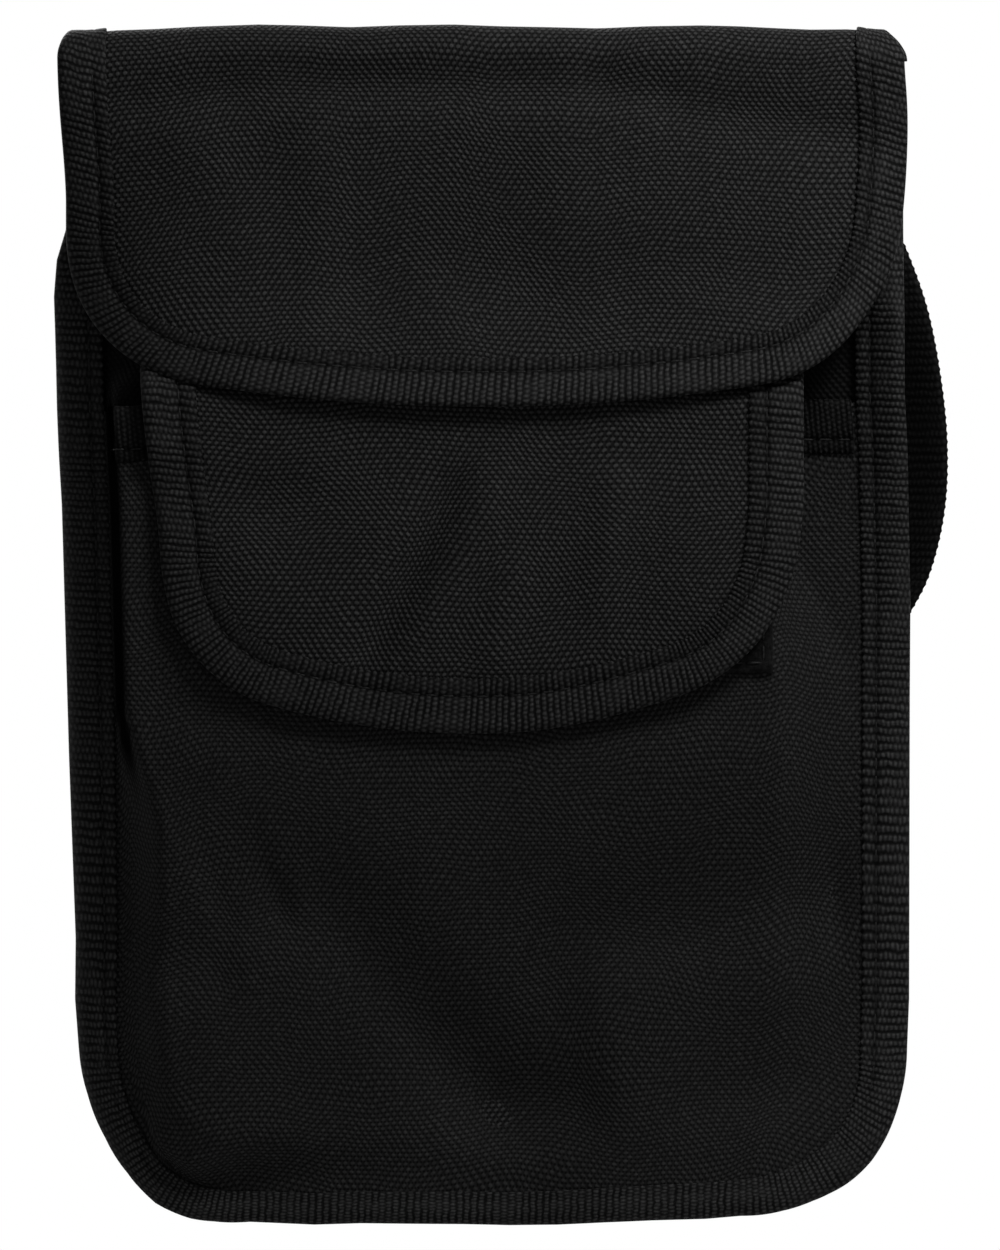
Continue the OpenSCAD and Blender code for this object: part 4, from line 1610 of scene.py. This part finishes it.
@dataclass(frozen=True)
class MainDrape:
    """How the main flap's cloth lies: from the rear panel over the top fold and down the front."""

    fold: float
    flare: float = 6.9
    left_flare: float = 0.1
    left_turn: float = 2.8
    low_turn: float = 0.8
    flare_from: float = 37.0
    bend_run: float = 10.0
    low: float = 62.5
    half: float = 70.0
    left_corner: float = 1.2
    right_corner: float = 2.6
    right_shoulder: float = 0.8
    left_draw: float = 1.4
    right_draw: float = 2.4
    edge_curl: float = 3.0
    curl_from: float = 50.0
    top_edge: Table = (
        (-66, -0.9), (-61, -0.35), (-54, -0.1), (-47, 0.3), (-37, 0.65), (-30, 0.5), (-22, 0.2), (-14, 0.5),
        (-5, 0.65), (3, 0.35), (11, 0.2), (19, 0.0), (27, 0.35), (36, 0.5), (42, 0.35), (49, 0.0), (54, -0.2),
        (61, -0.15), (67, -0.8),
    )
    folds: tuple[Bulge | Crease, ...] = (
        Crease((-60, -13), (-40, -10), 4.0, -1.1),
        Crease((-33, -9.5), (14, -9.5), 4.0, -1.4),
        Crease((18, -9.5), (32, -11.5), 4.0, -1.1),
        Crease((32, -12.5), (62, -18), 4.6, -1.1),
        Crease((-28, -16), (-27, -52), 4.5, 0.65),
        Crease((-50, -16), (-38, -40), 6.0, 0.7),
        Crease((12, -14), (16, -44), 7.0, 0.7),
        Bulge(38, -36, 24, 13, 1.7),
        Bulge(-45, -42, 14, 10, 1.4),
        Crease((30, -44), (52, -50), 5.0, 0.6),
        Crease((-12, -40), (-2, -54), 5.0, 0.5),
    )

    @property
    def top(self) -> float:
        """Pattern height of the end of the fold, at the rear panel."""
        return (math.pi - 1) * self.fold

    def stand(self, v: Numbers) -> Numbers:
        """How far the flap stands off its straight part.

        Args:
            v: Places up the cloth.

        Returns:
            The distances.
        """
        slope = self.flare / (self.low - self.flare_from - self.bend_run / 2)
        s = np.maximum(-v - self.flare_from, 0)
        return slope * np.where(s < self.bend_run, s * s / (2 * self.bend_run), s - self.bend_run / 2)

    def lie(self, x: Numbers, v: Numbers, q: Numbers) -> Numbers:
        """Lays pattern places in the frame.

        Args:
            x: Places across.
            v: Places up the cloth, past the top and down to the rear panel.
            q: Heights off the outer face.

        Returns:
            Points in metres.
        """
        x, v, q = np.broadcast_arrays(x, v, q)
        turn = np.clip((v + self.fold) / self.fold, 0, math.pi)
        form = sculpted(self.folds, x, v) * ramp(-v, -1.0, 6)
        reach = self.fold + q + read(self.top_edge, x) * np.sin(turn) + form
        corner = np.where(x < 0, self.left_corner, -self.right_corner)
        rounded = corner * ramp(np.abs(x), self.half - 9, 9) * np.sin(turn) ** 2
        left = self.left_draw * bell(v, -30, 15) * np.clip((10 - x) / 60, 0, 1)
        right = self.right_draw * bell(v, -48, 18) * np.clip((x - 10) / 55, 0, 1)
        right = right + self.right_shoulder * bell(v, -4, 8) * ramp(x, self.half - 25, 20)
        from_side = np.maximum(np.abs(x) - self.curl_from, 0) / (self.half - self.curl_from)
        curl = self.edge_curl * from_side**2 * ramp(-v, self.fold + 2, 14)
        curl = curl + self.left_turn * np.clip((-0.75 * x - 0.66 * v - 62) / 18, 0, 1.3) ** 2
        curl = curl + self.low_turn * np.clip((-0.5 * x - 0.9 * v - 60) / 18, 0, 1.2) ** 2
        stand = self.stand(v) * (1 + self.left_flare * ramp(-x, 15, 35))
        depth = 2 * self.fold + stand + form + q - curl
        on_front = v <= -self.fold
        y = np.where(on_front, -depth, -self.fold - reach * np.cos(turn))
        z = np.where(on_front, v, -self.fold + reach * np.sin(turn))
        return np.stack([x + rounded + left - right, y, z], -1) * MM


@dataclass(frozen=True)
class PocketDrape:
    """How the pocket flap's cloth lies: sewn to the front panel, over the pocket's mouth and down."""

    bend: float = -66.0
    face: float = 16.05
    lean: float = 1.4
    lean_run: float = 20.0
    head: Table = ((-66.0, 14.65), (-60.2, 14.65), (-51.0, 7.7), (-46.0, 7.7))
    head_step: float = 0.25
    soften: int = 17
    left_draw: float = 2.5
    right_draw: float = 2.5
    right_rise: float = 1.3
    left_curl: float = 2.1
    low_curl: float = 0.9
    left_bay: float = 2.2
    folds: tuple[Bulge | Crease, ...] = (
        Crease((-5, -74), (-21, -104), 3.4, -2.0),
        Crease((2, -75), (-13, -104), 3.6, 0.8),
        Bulge(-36, -79, 11, 7, -1.5),
        Crease((22, -71), (20, -96), 4.0, 1.1),
        Bulge(-34, -97, 9, 7, 0.7),
        Crease((5, -88), (1, -104), 3.5, 0.7),
        Bulge(36, -92, 7, 8, 0.7),
    )

    def _profile(self) -> Numbers:
        """Heights, depths and pattern places along the head, with its corners softened.

        Returns:
            Three columns.
        """
        corners = np.asarray(self.head)
        run = run_along(corners)
        s = spaced(0.0, run[-1], self.head_step)
        line = np.stack([np.interp(s, run, column) for column in corners.T], -1)
        half = self.soften // 2
        ends = np.concatenate([line[:1] - (line[1] - line[0]) * np.arange(half, 0, -1)[:, None], line])
        ends = np.concatenate([ends, line[-1:] + (line[-1] - line[-2]) * np.arange(1, half + 1)[:, None]])
        weights = np.ones(self.soften) / self.soften
        soft = np.stack([np.convolve(column, weights, "valid") for column in ends.T], -1)
        return np.column_stack([soft, self.bend + run_along(soft)])

    @property
    def top(self) -> float:
        """Pattern height of the head's sewn end."""
        return float(self._profile()[-1, 2])

    def lie(self, x: Numbers, v: Numbers, q: Numbers) -> Numbers:
        """Lays pattern places in the frame.

        Args:
            x: Places across.
            v: Places up the cloth, over the mouth and back to the front panel.
            q: Heights off the outer face.

        Returns:
            Points in metres.
        """
        x, v, q = np.broadcast_arrays(x, v, q)
        line = self._profile()
        tilt = unit(np.gradient(line[:, :2], axis=0))
        above = v > self.bend
        z = np.where(above, np.interp(v, line[:, 2], line[:, 0]), v)
        lean = -self.lean * (1 - ramp(-v, -self.bend, self.lean_run))
        settle = ramp(-v, 2 - self.bend, 8)
        low = self.face + lean + sculpted(self.folds, x, v) * settle
        low = low - self.left_curl * np.clip((-x - 36) / 20, 0, 1.2) ** 2 * settle
        low = low - self.low_curl * np.clip((-v - 101) / 11, 0, 1.1) ** 2
        depth = np.where(above, np.interp(v, line[:, 2], line[:, 1]), low)
        out_z = np.where(above, -np.interp(v, line[:, 2], tilt[:, 1]), 0.0)
        out_d = np.where(above, np.interp(v, line[:, 2], tilt[:, 0]), 1.0)
        drawn = self.left_draw * ramp(-v, 72, 24) * ramp(v, -125, 20)
        drawn = drawn + self.left_bay * bell(v, -80, 15)
        left = drawn * np.clip((10 - x) / 60, 0, 1)
        right = self.right_draw * ramp(-v, 76, 24) * np.clip((x - 5) / 45, 0, 1)
        rise = self.right_rise * ramp(x, 5, 35) * ramp(-v, 95, 14)
        return np.stack([x + left - right, -(depth + q * out_d), z + rise + q * out_z], -1) * MM


@dataclass(frozen=True)
class Flap:
    """One flap: cloth, lining, ribbed tape and hook strip.

    Its bent node is the frame's stretch of cloth that bends, and its head rows are stitches across it, each
    at a distance below its sewn end.
    """

    name: str
    outline: FlapOutline
    drape: MainDrape | PocketDrape
    bend: Bend
    tape: Tape
    bent_node: str
    finish: Wardrobe
    head_rows: tuple[float, ...] = ()
    cloth: float = 0.7
    lining: float = 0.5
    columns: int = 91
    hook_border: float = 1.2

    @property
    def outer(self) -> Face:
        """The cloth's outer face."""
        return Face(self.drape.lie, even(0.0))

    @property
    def inner(self) -> Face:
        """The lining's inner face."""
        return Face(self.drape.lie, even(-(self.cloth + LAYER_GAP + self.lining)), -1.0)

    def build(self) -> None:
        """Makes every piece of the flap."""
        self._cloths()
        self._binding()
        self._hooks()

    def _cloths(self) -> None:
        """The outer cloth and the lining behind it."""
        name, finish = self.name, self.finish
        x, v = self.outline.grid(TAPED_INSET, self.columns)
        behind = -self.cloth - LAYER_GAP
        layers = (
            ("cloth", 0.0, self.cloth, finish.cloth, Slot.CLOTH, [f"{name}_outer", self.bent_node]),
            ("liner", behind, self.lining, finish.lining, Slot.LINING, [f"{name}_lining"]),
        )
        edge = self.outline.edge().with_inset(TAPED_INSET)
        threads = drawn_threads(self.drape.folds)
        for layer, level, thick, material, slot, nodes in layers:
            face = Face(self.drape.lie, even(level))
            piece = cloth_slab(f"{name}_{layer}", face, x, v, thick, threads)
            dress(piece, material, self.bend, nodes)

    def _binding(self) -> None:
        """Tape over the flap's edge, its two rows of stitches and those of the head."""
        x, half = self.outline.centre, self.outline.half - self.tape.width
        heights = [self.outline.top - down for down in self.head_rows]
        head = [line_row((x - half, v), (x + half, v), self.outer) for v in heights]
        faces, materials = (self.outer, self.inner), (self.finish.tape, self.finish.thread)
        edge, node = self.outline.edge(), f"{self.name}_binding"
        bind_edge(self.name, self.tape, edge, faces, materials, self.bend, node, head)

    def _hooks(self) -> None:
        """The hook strip on the lining, sewn round its border."""
        node = f"{self.name.removesuffix('_flap')}_hook_strip"
        low, high = box_mm(node)
        hooks = HookField(float(high.y - low.y))
        face = self.inner.raised(LAYER_GAP)
        strip = hooks.build(f"{self.name}_hooks", face, *drawn_in(low, high, 0.0))
        dress(strip, self.finish.hooks, self.bend.moving, [node])
        seams = box_rows(drawn_in(low, high, self.hook_border), face.raised(hooks.base))
        stitches = Stitching().build(f"{self.name}_hook_stitches", seams)
        dress(stitches, self.finish.thread, self.bend.moving)


# Neck strap


@dataclass(frozen=True)
class StrapRoute:
    """The neck strap's way from its sewn right end through the hank to its tail, in millimetres.

    Each point has the webbing's turn about its own length in degrees, front edge outwards.
    """

    right: tuple[RoutePoint, ...] = (
        (52, 0.65, -34, 0), (52, 0.65, -26, 0), (52, 0.7, -18, 0), (52.2, 1.5, -14.8, 0), (52.5, 3.4, -13, 0),
        (53, 5.4, -14.8, 0), (53.5, 6.4, -18.5, 0), (56, 7, -27, 8), (60.6, 7.3, -36, 20),
        (64.8, 7.5, -46, 30), (67.5, 7.6, -57, 36), (68.8, 7.6, -68, 38), (68.2, 7.5, -79, 36),
        (64.9, 7.2, -90, 28), (58.8, 6.6, -101, 16), (56.8, 5.6, -112, 6), (56.0, 4.6, -122, 0),
        (54, 4, -133, 0), (50.6, 3.4, -146, 0), (47.4, 2.7, -157, 0),
    )
    rejoin: tuple[RoutePoint, ...] = ((-40, 7, -156, 0), (-43.5, 6.2, -145, 0), (-47, 5.5, -134, 0))
    doubled: Table = (
        (4.4, -122), (3.6, -108), (3.6, -90), (3.6, -72), (3.6, -54), (3.6, -40), (2.5, -34), (1.5, -29),
        (1.4, -22), (1.4, -15.2), (1.9, -14), (3, -13.5), (4.1, -14), (4.6, -15.2), (4.6, -22), (4.7, -29),
        (5.2, -36), (5.3, -48), (5.3, -62), (5.3, -78), (5.3, -94),
    )
    left_x: float = -49.0
    hank_top: float = -74.0
    hank_bottom: float = -166.0
    hank_y: float = 5.0
    hank_runs: int = 6
    pitch: float = 14.0
    first_x: float = 46.0
    fold_radius: float = 2.6
    layer_step: float = 0.95
    spread_run: float = 26.0
    waist: float = 0.15
    waist_z: float = -120.0
    waist_reach: float = 24.0
    run_steps: int = 8
    fold_steps: int = 6

    def left(self) -> list[RoutePoint]:
        """Up from the hank, under the tab, over its edge and down again as the tail."""
        return [*self.rejoin, *((self.left_x, y, z, 0) for y, z in self.doubled)]

    def fold_x(self, i: int) -> float:
        """Sideways place of a fold."""
        return self.first_x - self.pitch * i

    def _run(self, i: int) -> Iterator[RoutePoint]:
        """Points of run i, which climbs when i is odd and comes down when it is even.

        Args:
            i: The run's number.

        Yields:
            The points.
        """
        climbs = i % 2 == 1
        first, last = (self.hank_bottom, self.hank_top) if climbs else (self.hank_top, self.hank_bottom)
        for k in range(1, self.run_steps):
            share = k / self.run_steps
            z = first + (last - first) * share
            x = self.fold_x(i - 1) + (self.fold_x(i) - self.fold_x(i - 1)) * share
            drawn = x * (1 - self.waist * math.exp(-(((z - self.waist_z) / self.waist_reach) ** 2)))
            end = min(abs(z - self.hank_top), abs(z - self.hank_bottom))
            spread = 1 - float(ease(end / self.spread_run))
            layer = self.layer_step + (self.fold_radius - self.layer_step) * spread
            yield (drawn, self.hank_y + (layer if climbs else -layer), z, 0)

    def _fold(self, i: int) -> Iterator[RoutePoint]:
        """Points of fold i, at the bottom when i is even and at the top when it is odd.

        Args:
            i: The fold's number.

        Yields:
            The points.
        """
        end, side = (self.hank_bottom, -1) if i % 2 == 0 else (self.hank_top, 1)
        for k in range(self.fold_steps + 1):
            a = math.pi * k / self.fold_steps
            y = self.hank_y + side * self.fold_radius * math.cos(a)
            yield (self.fold_x(i), y, end + side * self.fold_radius * math.sin(a), 0)

    def points(self) -> Numbers:
        """All points of the route.

        Returns:
            Rows of a place and the webbing's turn.
        """
        hank = list(self._fold(0))
        for i in range(1, self.hank_runs + 1):
            hank += [*self._run(i), *self._fold(i)]
        return np.asarray([*self.right, *hank, *self.left()], float)


def mixed(t: Numbers, ends: Sequence[Numbers], first: Numbers, last: Numbers) -> Numbers:
    """Values at t on the straight way from the first end to the last."""
    low, high = ends
    return (high - t) / (high - low) * first + (t - low) / (high - low) * last


def smooth_line(points: Numbers, step: float, samples: int = 24) -> Numbers:
    """A smooth curve through points, with its samples about step apart.

    Args:
        points: Rows of a place in three columns, with any further values beside it.
        step: Distance between samples.
        samples: Places between two points on which the curve is worked out first.

    Returns:
        The samples, with the same columns.
    """
    padded = np.concatenate([2 * points[:1] - points[1:2], points, 2 * points[-1:] - points[-2:-1]])
    gaps = np.linalg.norm(np.diff(padded[:, :3], axis=0), axis=1) ** 0.5
    knots = np.concatenate([[0.0], np.cumsum(gaps)])[:, None]
    made = []
    for i in range(1, len(padded) - 2):
        p0, p1, p2, p3 = padded[i - 1 : i + 3]
        t0, t1, t2, t3 = knots[i - 1 : i + 3]
        t = np.linspace(t1, t2, samples, endpoint=False)
        before = mixed(t, (t0, t1), p0, p1)
        middle = mixed(t, (t1, t2), p1, p2)
        after = mixed(t, (t2, t3), p2, p3)
        first = mixed(t, (t0, t2), before, middle)
        last = mixed(t, (t1, t3), middle, after)
        made.append(mixed(t, (t1, t2), first, last))
    line = np.concatenate([*made, points[-1:]])
    run = run_along(line[:, :3])
    s = spaced(0.0, run[-1], step)
    return np.stack([np.interp(s, run, column) for column in line.T], -1)


@dataclass(frozen=True)
class Webbing:
    """Flat woven webbing with ribs across it and beaded selvedges."""

    width: float = 20.0
    thick: float = 1.15
    selvedge: float = 0.9
    rib: float = 1.35
    rib_height: float = 0.07
    edge_bead: float = 0.012
    rings_per_rib: int = 3
    flat_points: int = 6

    def section(self) -> list[tuple[float, float]]:
        """Points round the section as shares of the half width and the half thickness.

        Returns:
            The points.
        """
        flat = 1 - 2 * self.selvedge / self.width
        across = np.linspace(flat, -flat, self.flat_points)
        top = [(float(a), 1.0) for a in across]
        return [(1.0, 0.0), *top, (-1.0, 0.0), *[(-a, -b) for a, b in top]]

    def build(self, name: str, line: Numbers, across: Numbers) -> bpy.types.Object:
        """Sweeps the webbing along a line.

        Args:
            name: The piece's name.
            line: Centre points in millimetres, one per ring.
            across: Unit vectors along the width at each ring.

        Returns:
            The new object.
        """
        along = unit(np.gradient(line, axis=0))
        out = unit(np.cross(along, across))
        s = run_along(line)
        rib = np.cos(2 * math.pi * s / self.rib)
        section = self.section()
        columns, weave = [], []
        for a, b in section:
            edge = abs(a) == 1.0
            reach = self.width / 2 * a * (1 + (self.edge_bead * rib if edge else 0.0))
            rise = (self.thick / 2 + self.rib_height * rib) * b
            columns.append(line + across * np.broadcast_to(reach, s.shape)[:, None] + out * rise[:, None])
            weave.append(np.stack([s, np.full_like(s, self.width / 2 * a)], -1))
        points, flat = np.stack(columns, 1) * MM, np.stack(weave, 1)
        return mesh_piece(name, points, tube_faces(len(line), len(section)), flat)


@dataclass(frozen=True)
class NeckStrap:
    """The strap with its hank, its tie, its tab and its slide."""

    finish: Wardrobe
    route: StrapRoute = StrapRoute()
    webbing: Webbing = Webbing()
    path_step: int = 4
    slide_ease: float = 0.25

    def build(self) -> None:
        """Makes the strap and every piece on it."""
        strap, path, length = self._strap()
        tie = self._tie()
        slider = self._slider()
        self._tab()
        self._sewn_ends()

    def _strap(self) -> tuple[bpy.types.Object, list, float]:
        """The whole strap in one unbroken piece, its centreline and its length in metres.

        Returns:
            The piece, the centreline's points and the length.
        """
        line = smooth_line(self.route.points(), self.webbing.rib / self.webbing.rings_per_rib)
        turn = np.radians(line[:, 3])
        across = np.stack([np.cos(turn), -np.sin(turn), np.zeros_like(turn)], -1)
        centre = line[:, :3]
        strap = self.webbing.build("neck_strap", centre, across)
        nodes = ["neck_strap_right", "neck_strap_hank", "neck_strap_left"]
        # The webbing's dark colour holds painted shade.
        dress(strap, self.finish.webbing, Body.POUCH, nodes)
        length = float(np.linalg.norm(np.diff(centre, axis=0), axis=1).sum()) * MM
        LOG.info("neck strap is %.3f m long", length)
        return strap, (centre[:: self.path_step] * MM).tolist() + [(centre[-1] * MM).tolist()], length

    @staticmethod
    def _behind(x: Numbers, v: Numbers, q: Numbers) -> Numbers:
        """Lays places across, heights and depths behind the rear face in the frame."""
        return np.stack(np.broadcast_arrays(x, q, v), -1) * MM

    @staticmethod
    def _band(
        name: str, webbing: Webbing, outline: Sequence[tuple[float, float]], height: float, step: float
    ) -> bpy.types.Object:
        """Webbing that stands on edge.

        Args:
            name: The piece's name.
            webbing: Its section.
            outline: Places across and in depth that it runs through.
            height: Height of its middle.
            step: Distance between its rings.

        Returns:
            The new object.
        """
        line = smooth_line(np.asarray([(x, y, height) for x, y in outline]), step)
        return webbing.build(name, line, np.tile((0.0, 0.0, 1.0), (len(line), 1)))

    def _tie(self) -> list[bpy.types.Object]:
        """A band round the hank's waist, with its overlapped end and a bar of stitches.

        Returns:
            Both pieces.
        """
        low, high = box_mm("strap_tie")
        thick, radius = 0.8, 2.4
        left, right = low.x + thick / 2, high.x - thick / 2
        near, far = low.y + thick / 2, high.y - thick / 2
        corners = (
            (right - radius, far - radius, 90, 0),
            (right - radius, near + radius, 0, -90),
            (left + radius, near + radius, -90, -180),
            (left + radius, far - radius, -180, -270),
        )
        loop = [(-8.0, far)]
        for x, y, first, last in corners:
            turns = np.radians(np.linspace(first, last, 7))
            loop += [(x + radius * math.cos(a), y + radius * math.sin(a)) for a in turns]
        loop += [(-24.0, far), (-10.0, far + 0.25), (2.0, far + 0.95), (14.0, far + 0.95)]
        elastic = Webbing(high.z - low.z, thick=0.75, selvedge=0.5, rib=0.9, rib_height=0.05, rings_per_rib=2)
        band = self._band("strap_tie_band", elastic, loop, (low.z + high.z) / 2, 0.45)
        tie = dress(band, self.finish.elastic, Body.POUCH, ["strap_tie"])
        over, ends = Face(self._behind, even(far + 1.3)), (low.z + 1.2, high.z - 1.2)
        seams = [line_row((x, ends[0]), (x, ends[1]), over) for x in (5.0, 11.5)]
        bars = Stitching(pitch=1.5, length=1.3).build("strap_tie_stitches", seams)
        return [tie, dress(bars, self.finish.thread, Body.POUCH)]

    def _slider(self) -> bpy.types.Object:
        """The moulded slide, with its edges eased.

        Returns:
            The slide.
        """
        slider = bpy.data.objects["strap_slider"]
        slider.data.materials.clear()
        slider.data.materials.append(self.finish.plastic)
        ease_edges = slider.modifiers.new("eased_edges", "BEVEL")
        ease_edges.width = self.slide_ease * MM
        ease_edges.segments = 2
        LOG.info("%s: finished", slider.name)
        return slider

    def _tab(self) -> None:
        """The sewn tab that the strap turns round."""
        low, high = box_mm("strap_loop_tab")
        x, over = self.route.left_x, high.y - 0.6
        outline = [
            (low.x, 0.68), (x - 11.9, 0.72), (x - 11.1, 1.6), (x - 10.2, over), (x, over),
            (x + 10.2, over), (x + 11.1, 1.6), (x + 11.9, 0.72), (high.x - 2, 0.68), (high.x, 0.68),
        ]
        webbing = Webbing(high.z - low.z, thick=1.0, rib=1.2, rib_height=0.06)
        tab = self._band("strap_tab", webbing, outline, (low.z + high.z) / 2, 0.4)
        # The tab takes the same dark webbing, with its painted shade.
        dress(tab, self.finish.webbing, Body.POUCH, ["strap_loop_tab"])

    def _sewn_ends(self) -> None:
        """Box stitches on the strap's sewn end, the tab's foot and the tail's hem."""
        low, high = box_mm("strap_loop_tab")
        tail = self.route.left_x
        sewn, foot_face, tail_face = (Face(self._behind, even(depth)) for depth in (1.3, 1.2, 5.95))
        end = box_rows(((44.5, -33), (59.5, -21)), sewn, crossed=True)
        foot = box_rows(((high.x - 3.2, low.z + 1), (high.x - 1, high.z - 1)), foot_face)
        hem = [line_row((tail - 8.5, z), (tail + 8.5, z), tail_face) for z in (-90.0, -92.2)]
        stitches = Stitching(pitch=2.6, length=2.2).build("strap_stitches", [*end, *foot, *hem])
        dress(stitches, self.finish.thread, Body.POUCH)


# Studio


@dataclass(frozen=True)
class Lamp:
    """A square soft light that looks at the pouch's middle."""

    name: str
    place: tuple[float, float, float]
    side: float
    power: float


@dataclass(frozen=True)
class Studio:
    """Camera square on to the front, soft light from above, a pale floor and a white surround."""

    frame_height: float = 0.20625
    aim: tuple[float, float, float] = (0.0028, 0.0, -0.0982)
    distance: float = 2.0
    sensor: float = 36.0
    drop: float = 0.045
    floor_size: float = 4.0
    floor_grey: float = 0.82
    floor_roughness: float = 0.9
    floor_fade: tuple[float, float] = (0.35, 0.8)
    ambient: float = 0.065
    lamps: tuple[Lamp, ...] = (
        Lamp("key_light", (0.2, -0.22, 0.21), 0.12, 1.85),
        Lamp("front_light", (0.2, -1.3, 0.1), 0.8, 0.4),
        Lamp("rear_light", (-0.3, 0.75, 0.4), 0.5, 5.0),
    )

    def build(self, lowest: float) -> None:
        """Makes the camera, the lights, the floor and the surround.

        Args:
            lowest: Height of the object's lowest point.
        """
        self._camera()
        self._lights()
        self._surround()
        self._floor(lowest - self.drop)
        bpy.context.scene.view_settings.view_transform = "Standard"

    def _camera(self) -> None:
        """A long lens at the middle of the photographed frame."""
        data = bpy.data.cameras.new("camera")
        data.sensor_width = self.sensor
        data.lens = self.sensor * self.distance / self.frame_height
        data.clip_end = 100.0
        camera = linked("camera", data)
        camera.location = (self.aim[0], self.aim[1] - self.distance, self.aim[2])
        camera.rotation_euler = (math.pi / 2, 0.0, 0.0)
        bpy.context.scene.camera = camera

    def _lights(self) -> None:
        """The soft lights."""
        for lamp in self.lamps:
            data = bpy.data.lights.new(lamp.name, "AREA")
            data.size = lamp.side
            data.energy = lamp.power
            light = linked(lamp.name, data)
            light.location = lamp.place
            toward = Vector(self.aim) - light.location
            light.rotation_euler = toward.to_track_quat("-Z", "Y").to_euler()
            light.visible_camera = False

    def _surround(self) -> None:
        """A world that is white to the eye and in gloss, and gives a low even light."""
        world = bpy.data.worlds.new("surround")
        bpy.context.scene.world = world
        world.use_nodes = True
        nodes, links = world.node_tree.nodes, world.node_tree.links
        background = nodes["Background"]
        background.inputs["Color"].default_value = (1.0, 1.0, 1.0, 1.0)
        path = nodes.new("ShaderNodeLightPath")
        seen = path.outputs["Is Camera Ray"]
        for name in ("Is Glossy Ray", "Is Transmission Ray"):
            either = nodes.new("ShaderNodeMath")
            either.operation = "MAXIMUM"
            links.new(seen, either.inputs[0])
            links.new(path.outputs[name], either.inputs[1])
            seen = either.outputs[0]
        strength = nodes.new("ShaderNodeMapRange")
        strength.inputs["To Min"].default_value = self.ambient
        links.new(seen, strength.inputs["Value"])
        links.new(strength.outputs[0], background.inputs["Strength"])

    def _floor(self, height: float) -> None:
        """A pale floor below the hanging pouch, which keeps its shadow and fades into the white.

        Args:
            height: The floor's height.
        """
        half = self.floor_size / 2
        mesh = bpy.data.meshes.new("floor")
        corners = [(-half, -half, height), (half, -half, height), (half, half, height), (-half, half, height)]
        mesh.from_pydata(corners, [], [(0, 1, 2, 3)])
        floor = linked("floor", mesh)
        bench = Bench("pale_floor")
        bench.surface((*[self.floor_grey] * 3, 1.0), self.floor_roughness, 0.0)
        place = bench.node("ShaderNodeTexCoord").outputs["Object"]
        away = bench.node("ShaderNodeVectorMath", {0: place}, operation="LENGTH")
        seen = bench.node("ShaderNodeLightPath").outputs["Is Camera Ray"]
        share = bench.times(bench.ranged(away.outputs["Value"], *self.floor_fade, 0.0, 1.0), seen)
        white = bench.node("ShaderNodeEmission").outputs[0]
        mix = bench.node("ShaderNodeMixShader", {0: share, 1: bench.shader.outputs["BSDF"], 2: white})
        bench.feed(bench.output, {"Surface": mix.outputs[0]})
        mesh.materials.append(bench.material)
        floor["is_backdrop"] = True


# Assembly


def make_flaps(wardrobe: Wardrobe) -> list[Flap]:
    """The two flaps, measured from the frame.

    Args:
        wardrobe: The finishes.

    Returns:
        The main flap and the pocket flap.
    """
    fold_low, fold_high = box_mm("main_flap_fold")
    main_low, main_high = box_mm("main_flap_binding")
    pocket_low, pocket_high = box_mm("pocket_flap_binding")
    main_drape = MainDrape(fold=(fold_high.y - fold_low.y) / 2, low=-main_low.z)
    pocket_drape = PocketDrape(bend=pocket_high.z)
    pocket_half, pocket_centre = (pocket_high.x - pocket_low.x) / 2, (pocket_high.x + pocket_low.x) / 2
    main_flap = Flap(
        "main_flap",
        FlapOutline(main_high.x, 27.0, 300.0, -main_low.z, main_drape.top),
        main_drape,
        Bend(Body.POUCH, Body.MAIN_FLAP, (0.0, -0.0021, -0.0034), (0.0, -0.0083, -0.0070)),
        Tape(rim=1.15, slant=0.3, pressed=13.0),
        "main_flap_fold",
        wardrobe,
    )
    pocket_flap = Flap(
        "pocket_flap",
        FlapOutline(pocket_half, 26.0, 130.0, -pocket_low.z, pocket_drape.top, pocket_centre),
        pocket_drape,
        Bend(Body.POUCH, Body.POCKET_FLAP, (0.0, -0.0139, -0.0625), (0.0, -0.0139, -0.0700)),
        Tape(width=9.0, rim=1.15, stitch_in=2.9, slant=0.1),
        "pocket_flap_head",
        wardrobe,
        head_rows=(1.5, 4.0),
    )
    return [main_flap, pocket_flap]


def main() -> None:
    """Loads the frame, then builds and dresses the pouch in order."""
    logging.basicConfig(level=logging.INFO, format="%(name)s: %(message)s")
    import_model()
    frame_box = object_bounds()
    Studio().build(float(frame_box[0].z))
    wardrobe = Wardrobe()
    NeckStrap(wardrobe).build()
    low, high = box_mm("body_binding")
    shape = PouchShape(half=float(high.x), floor=float(low.z), fold=-float(high.z))
    PouchBody(shape, wardrobe).build()
    for flap in make_flaps(wardrobe):
        flap.build()


if __name__ == "__main__":
    main()
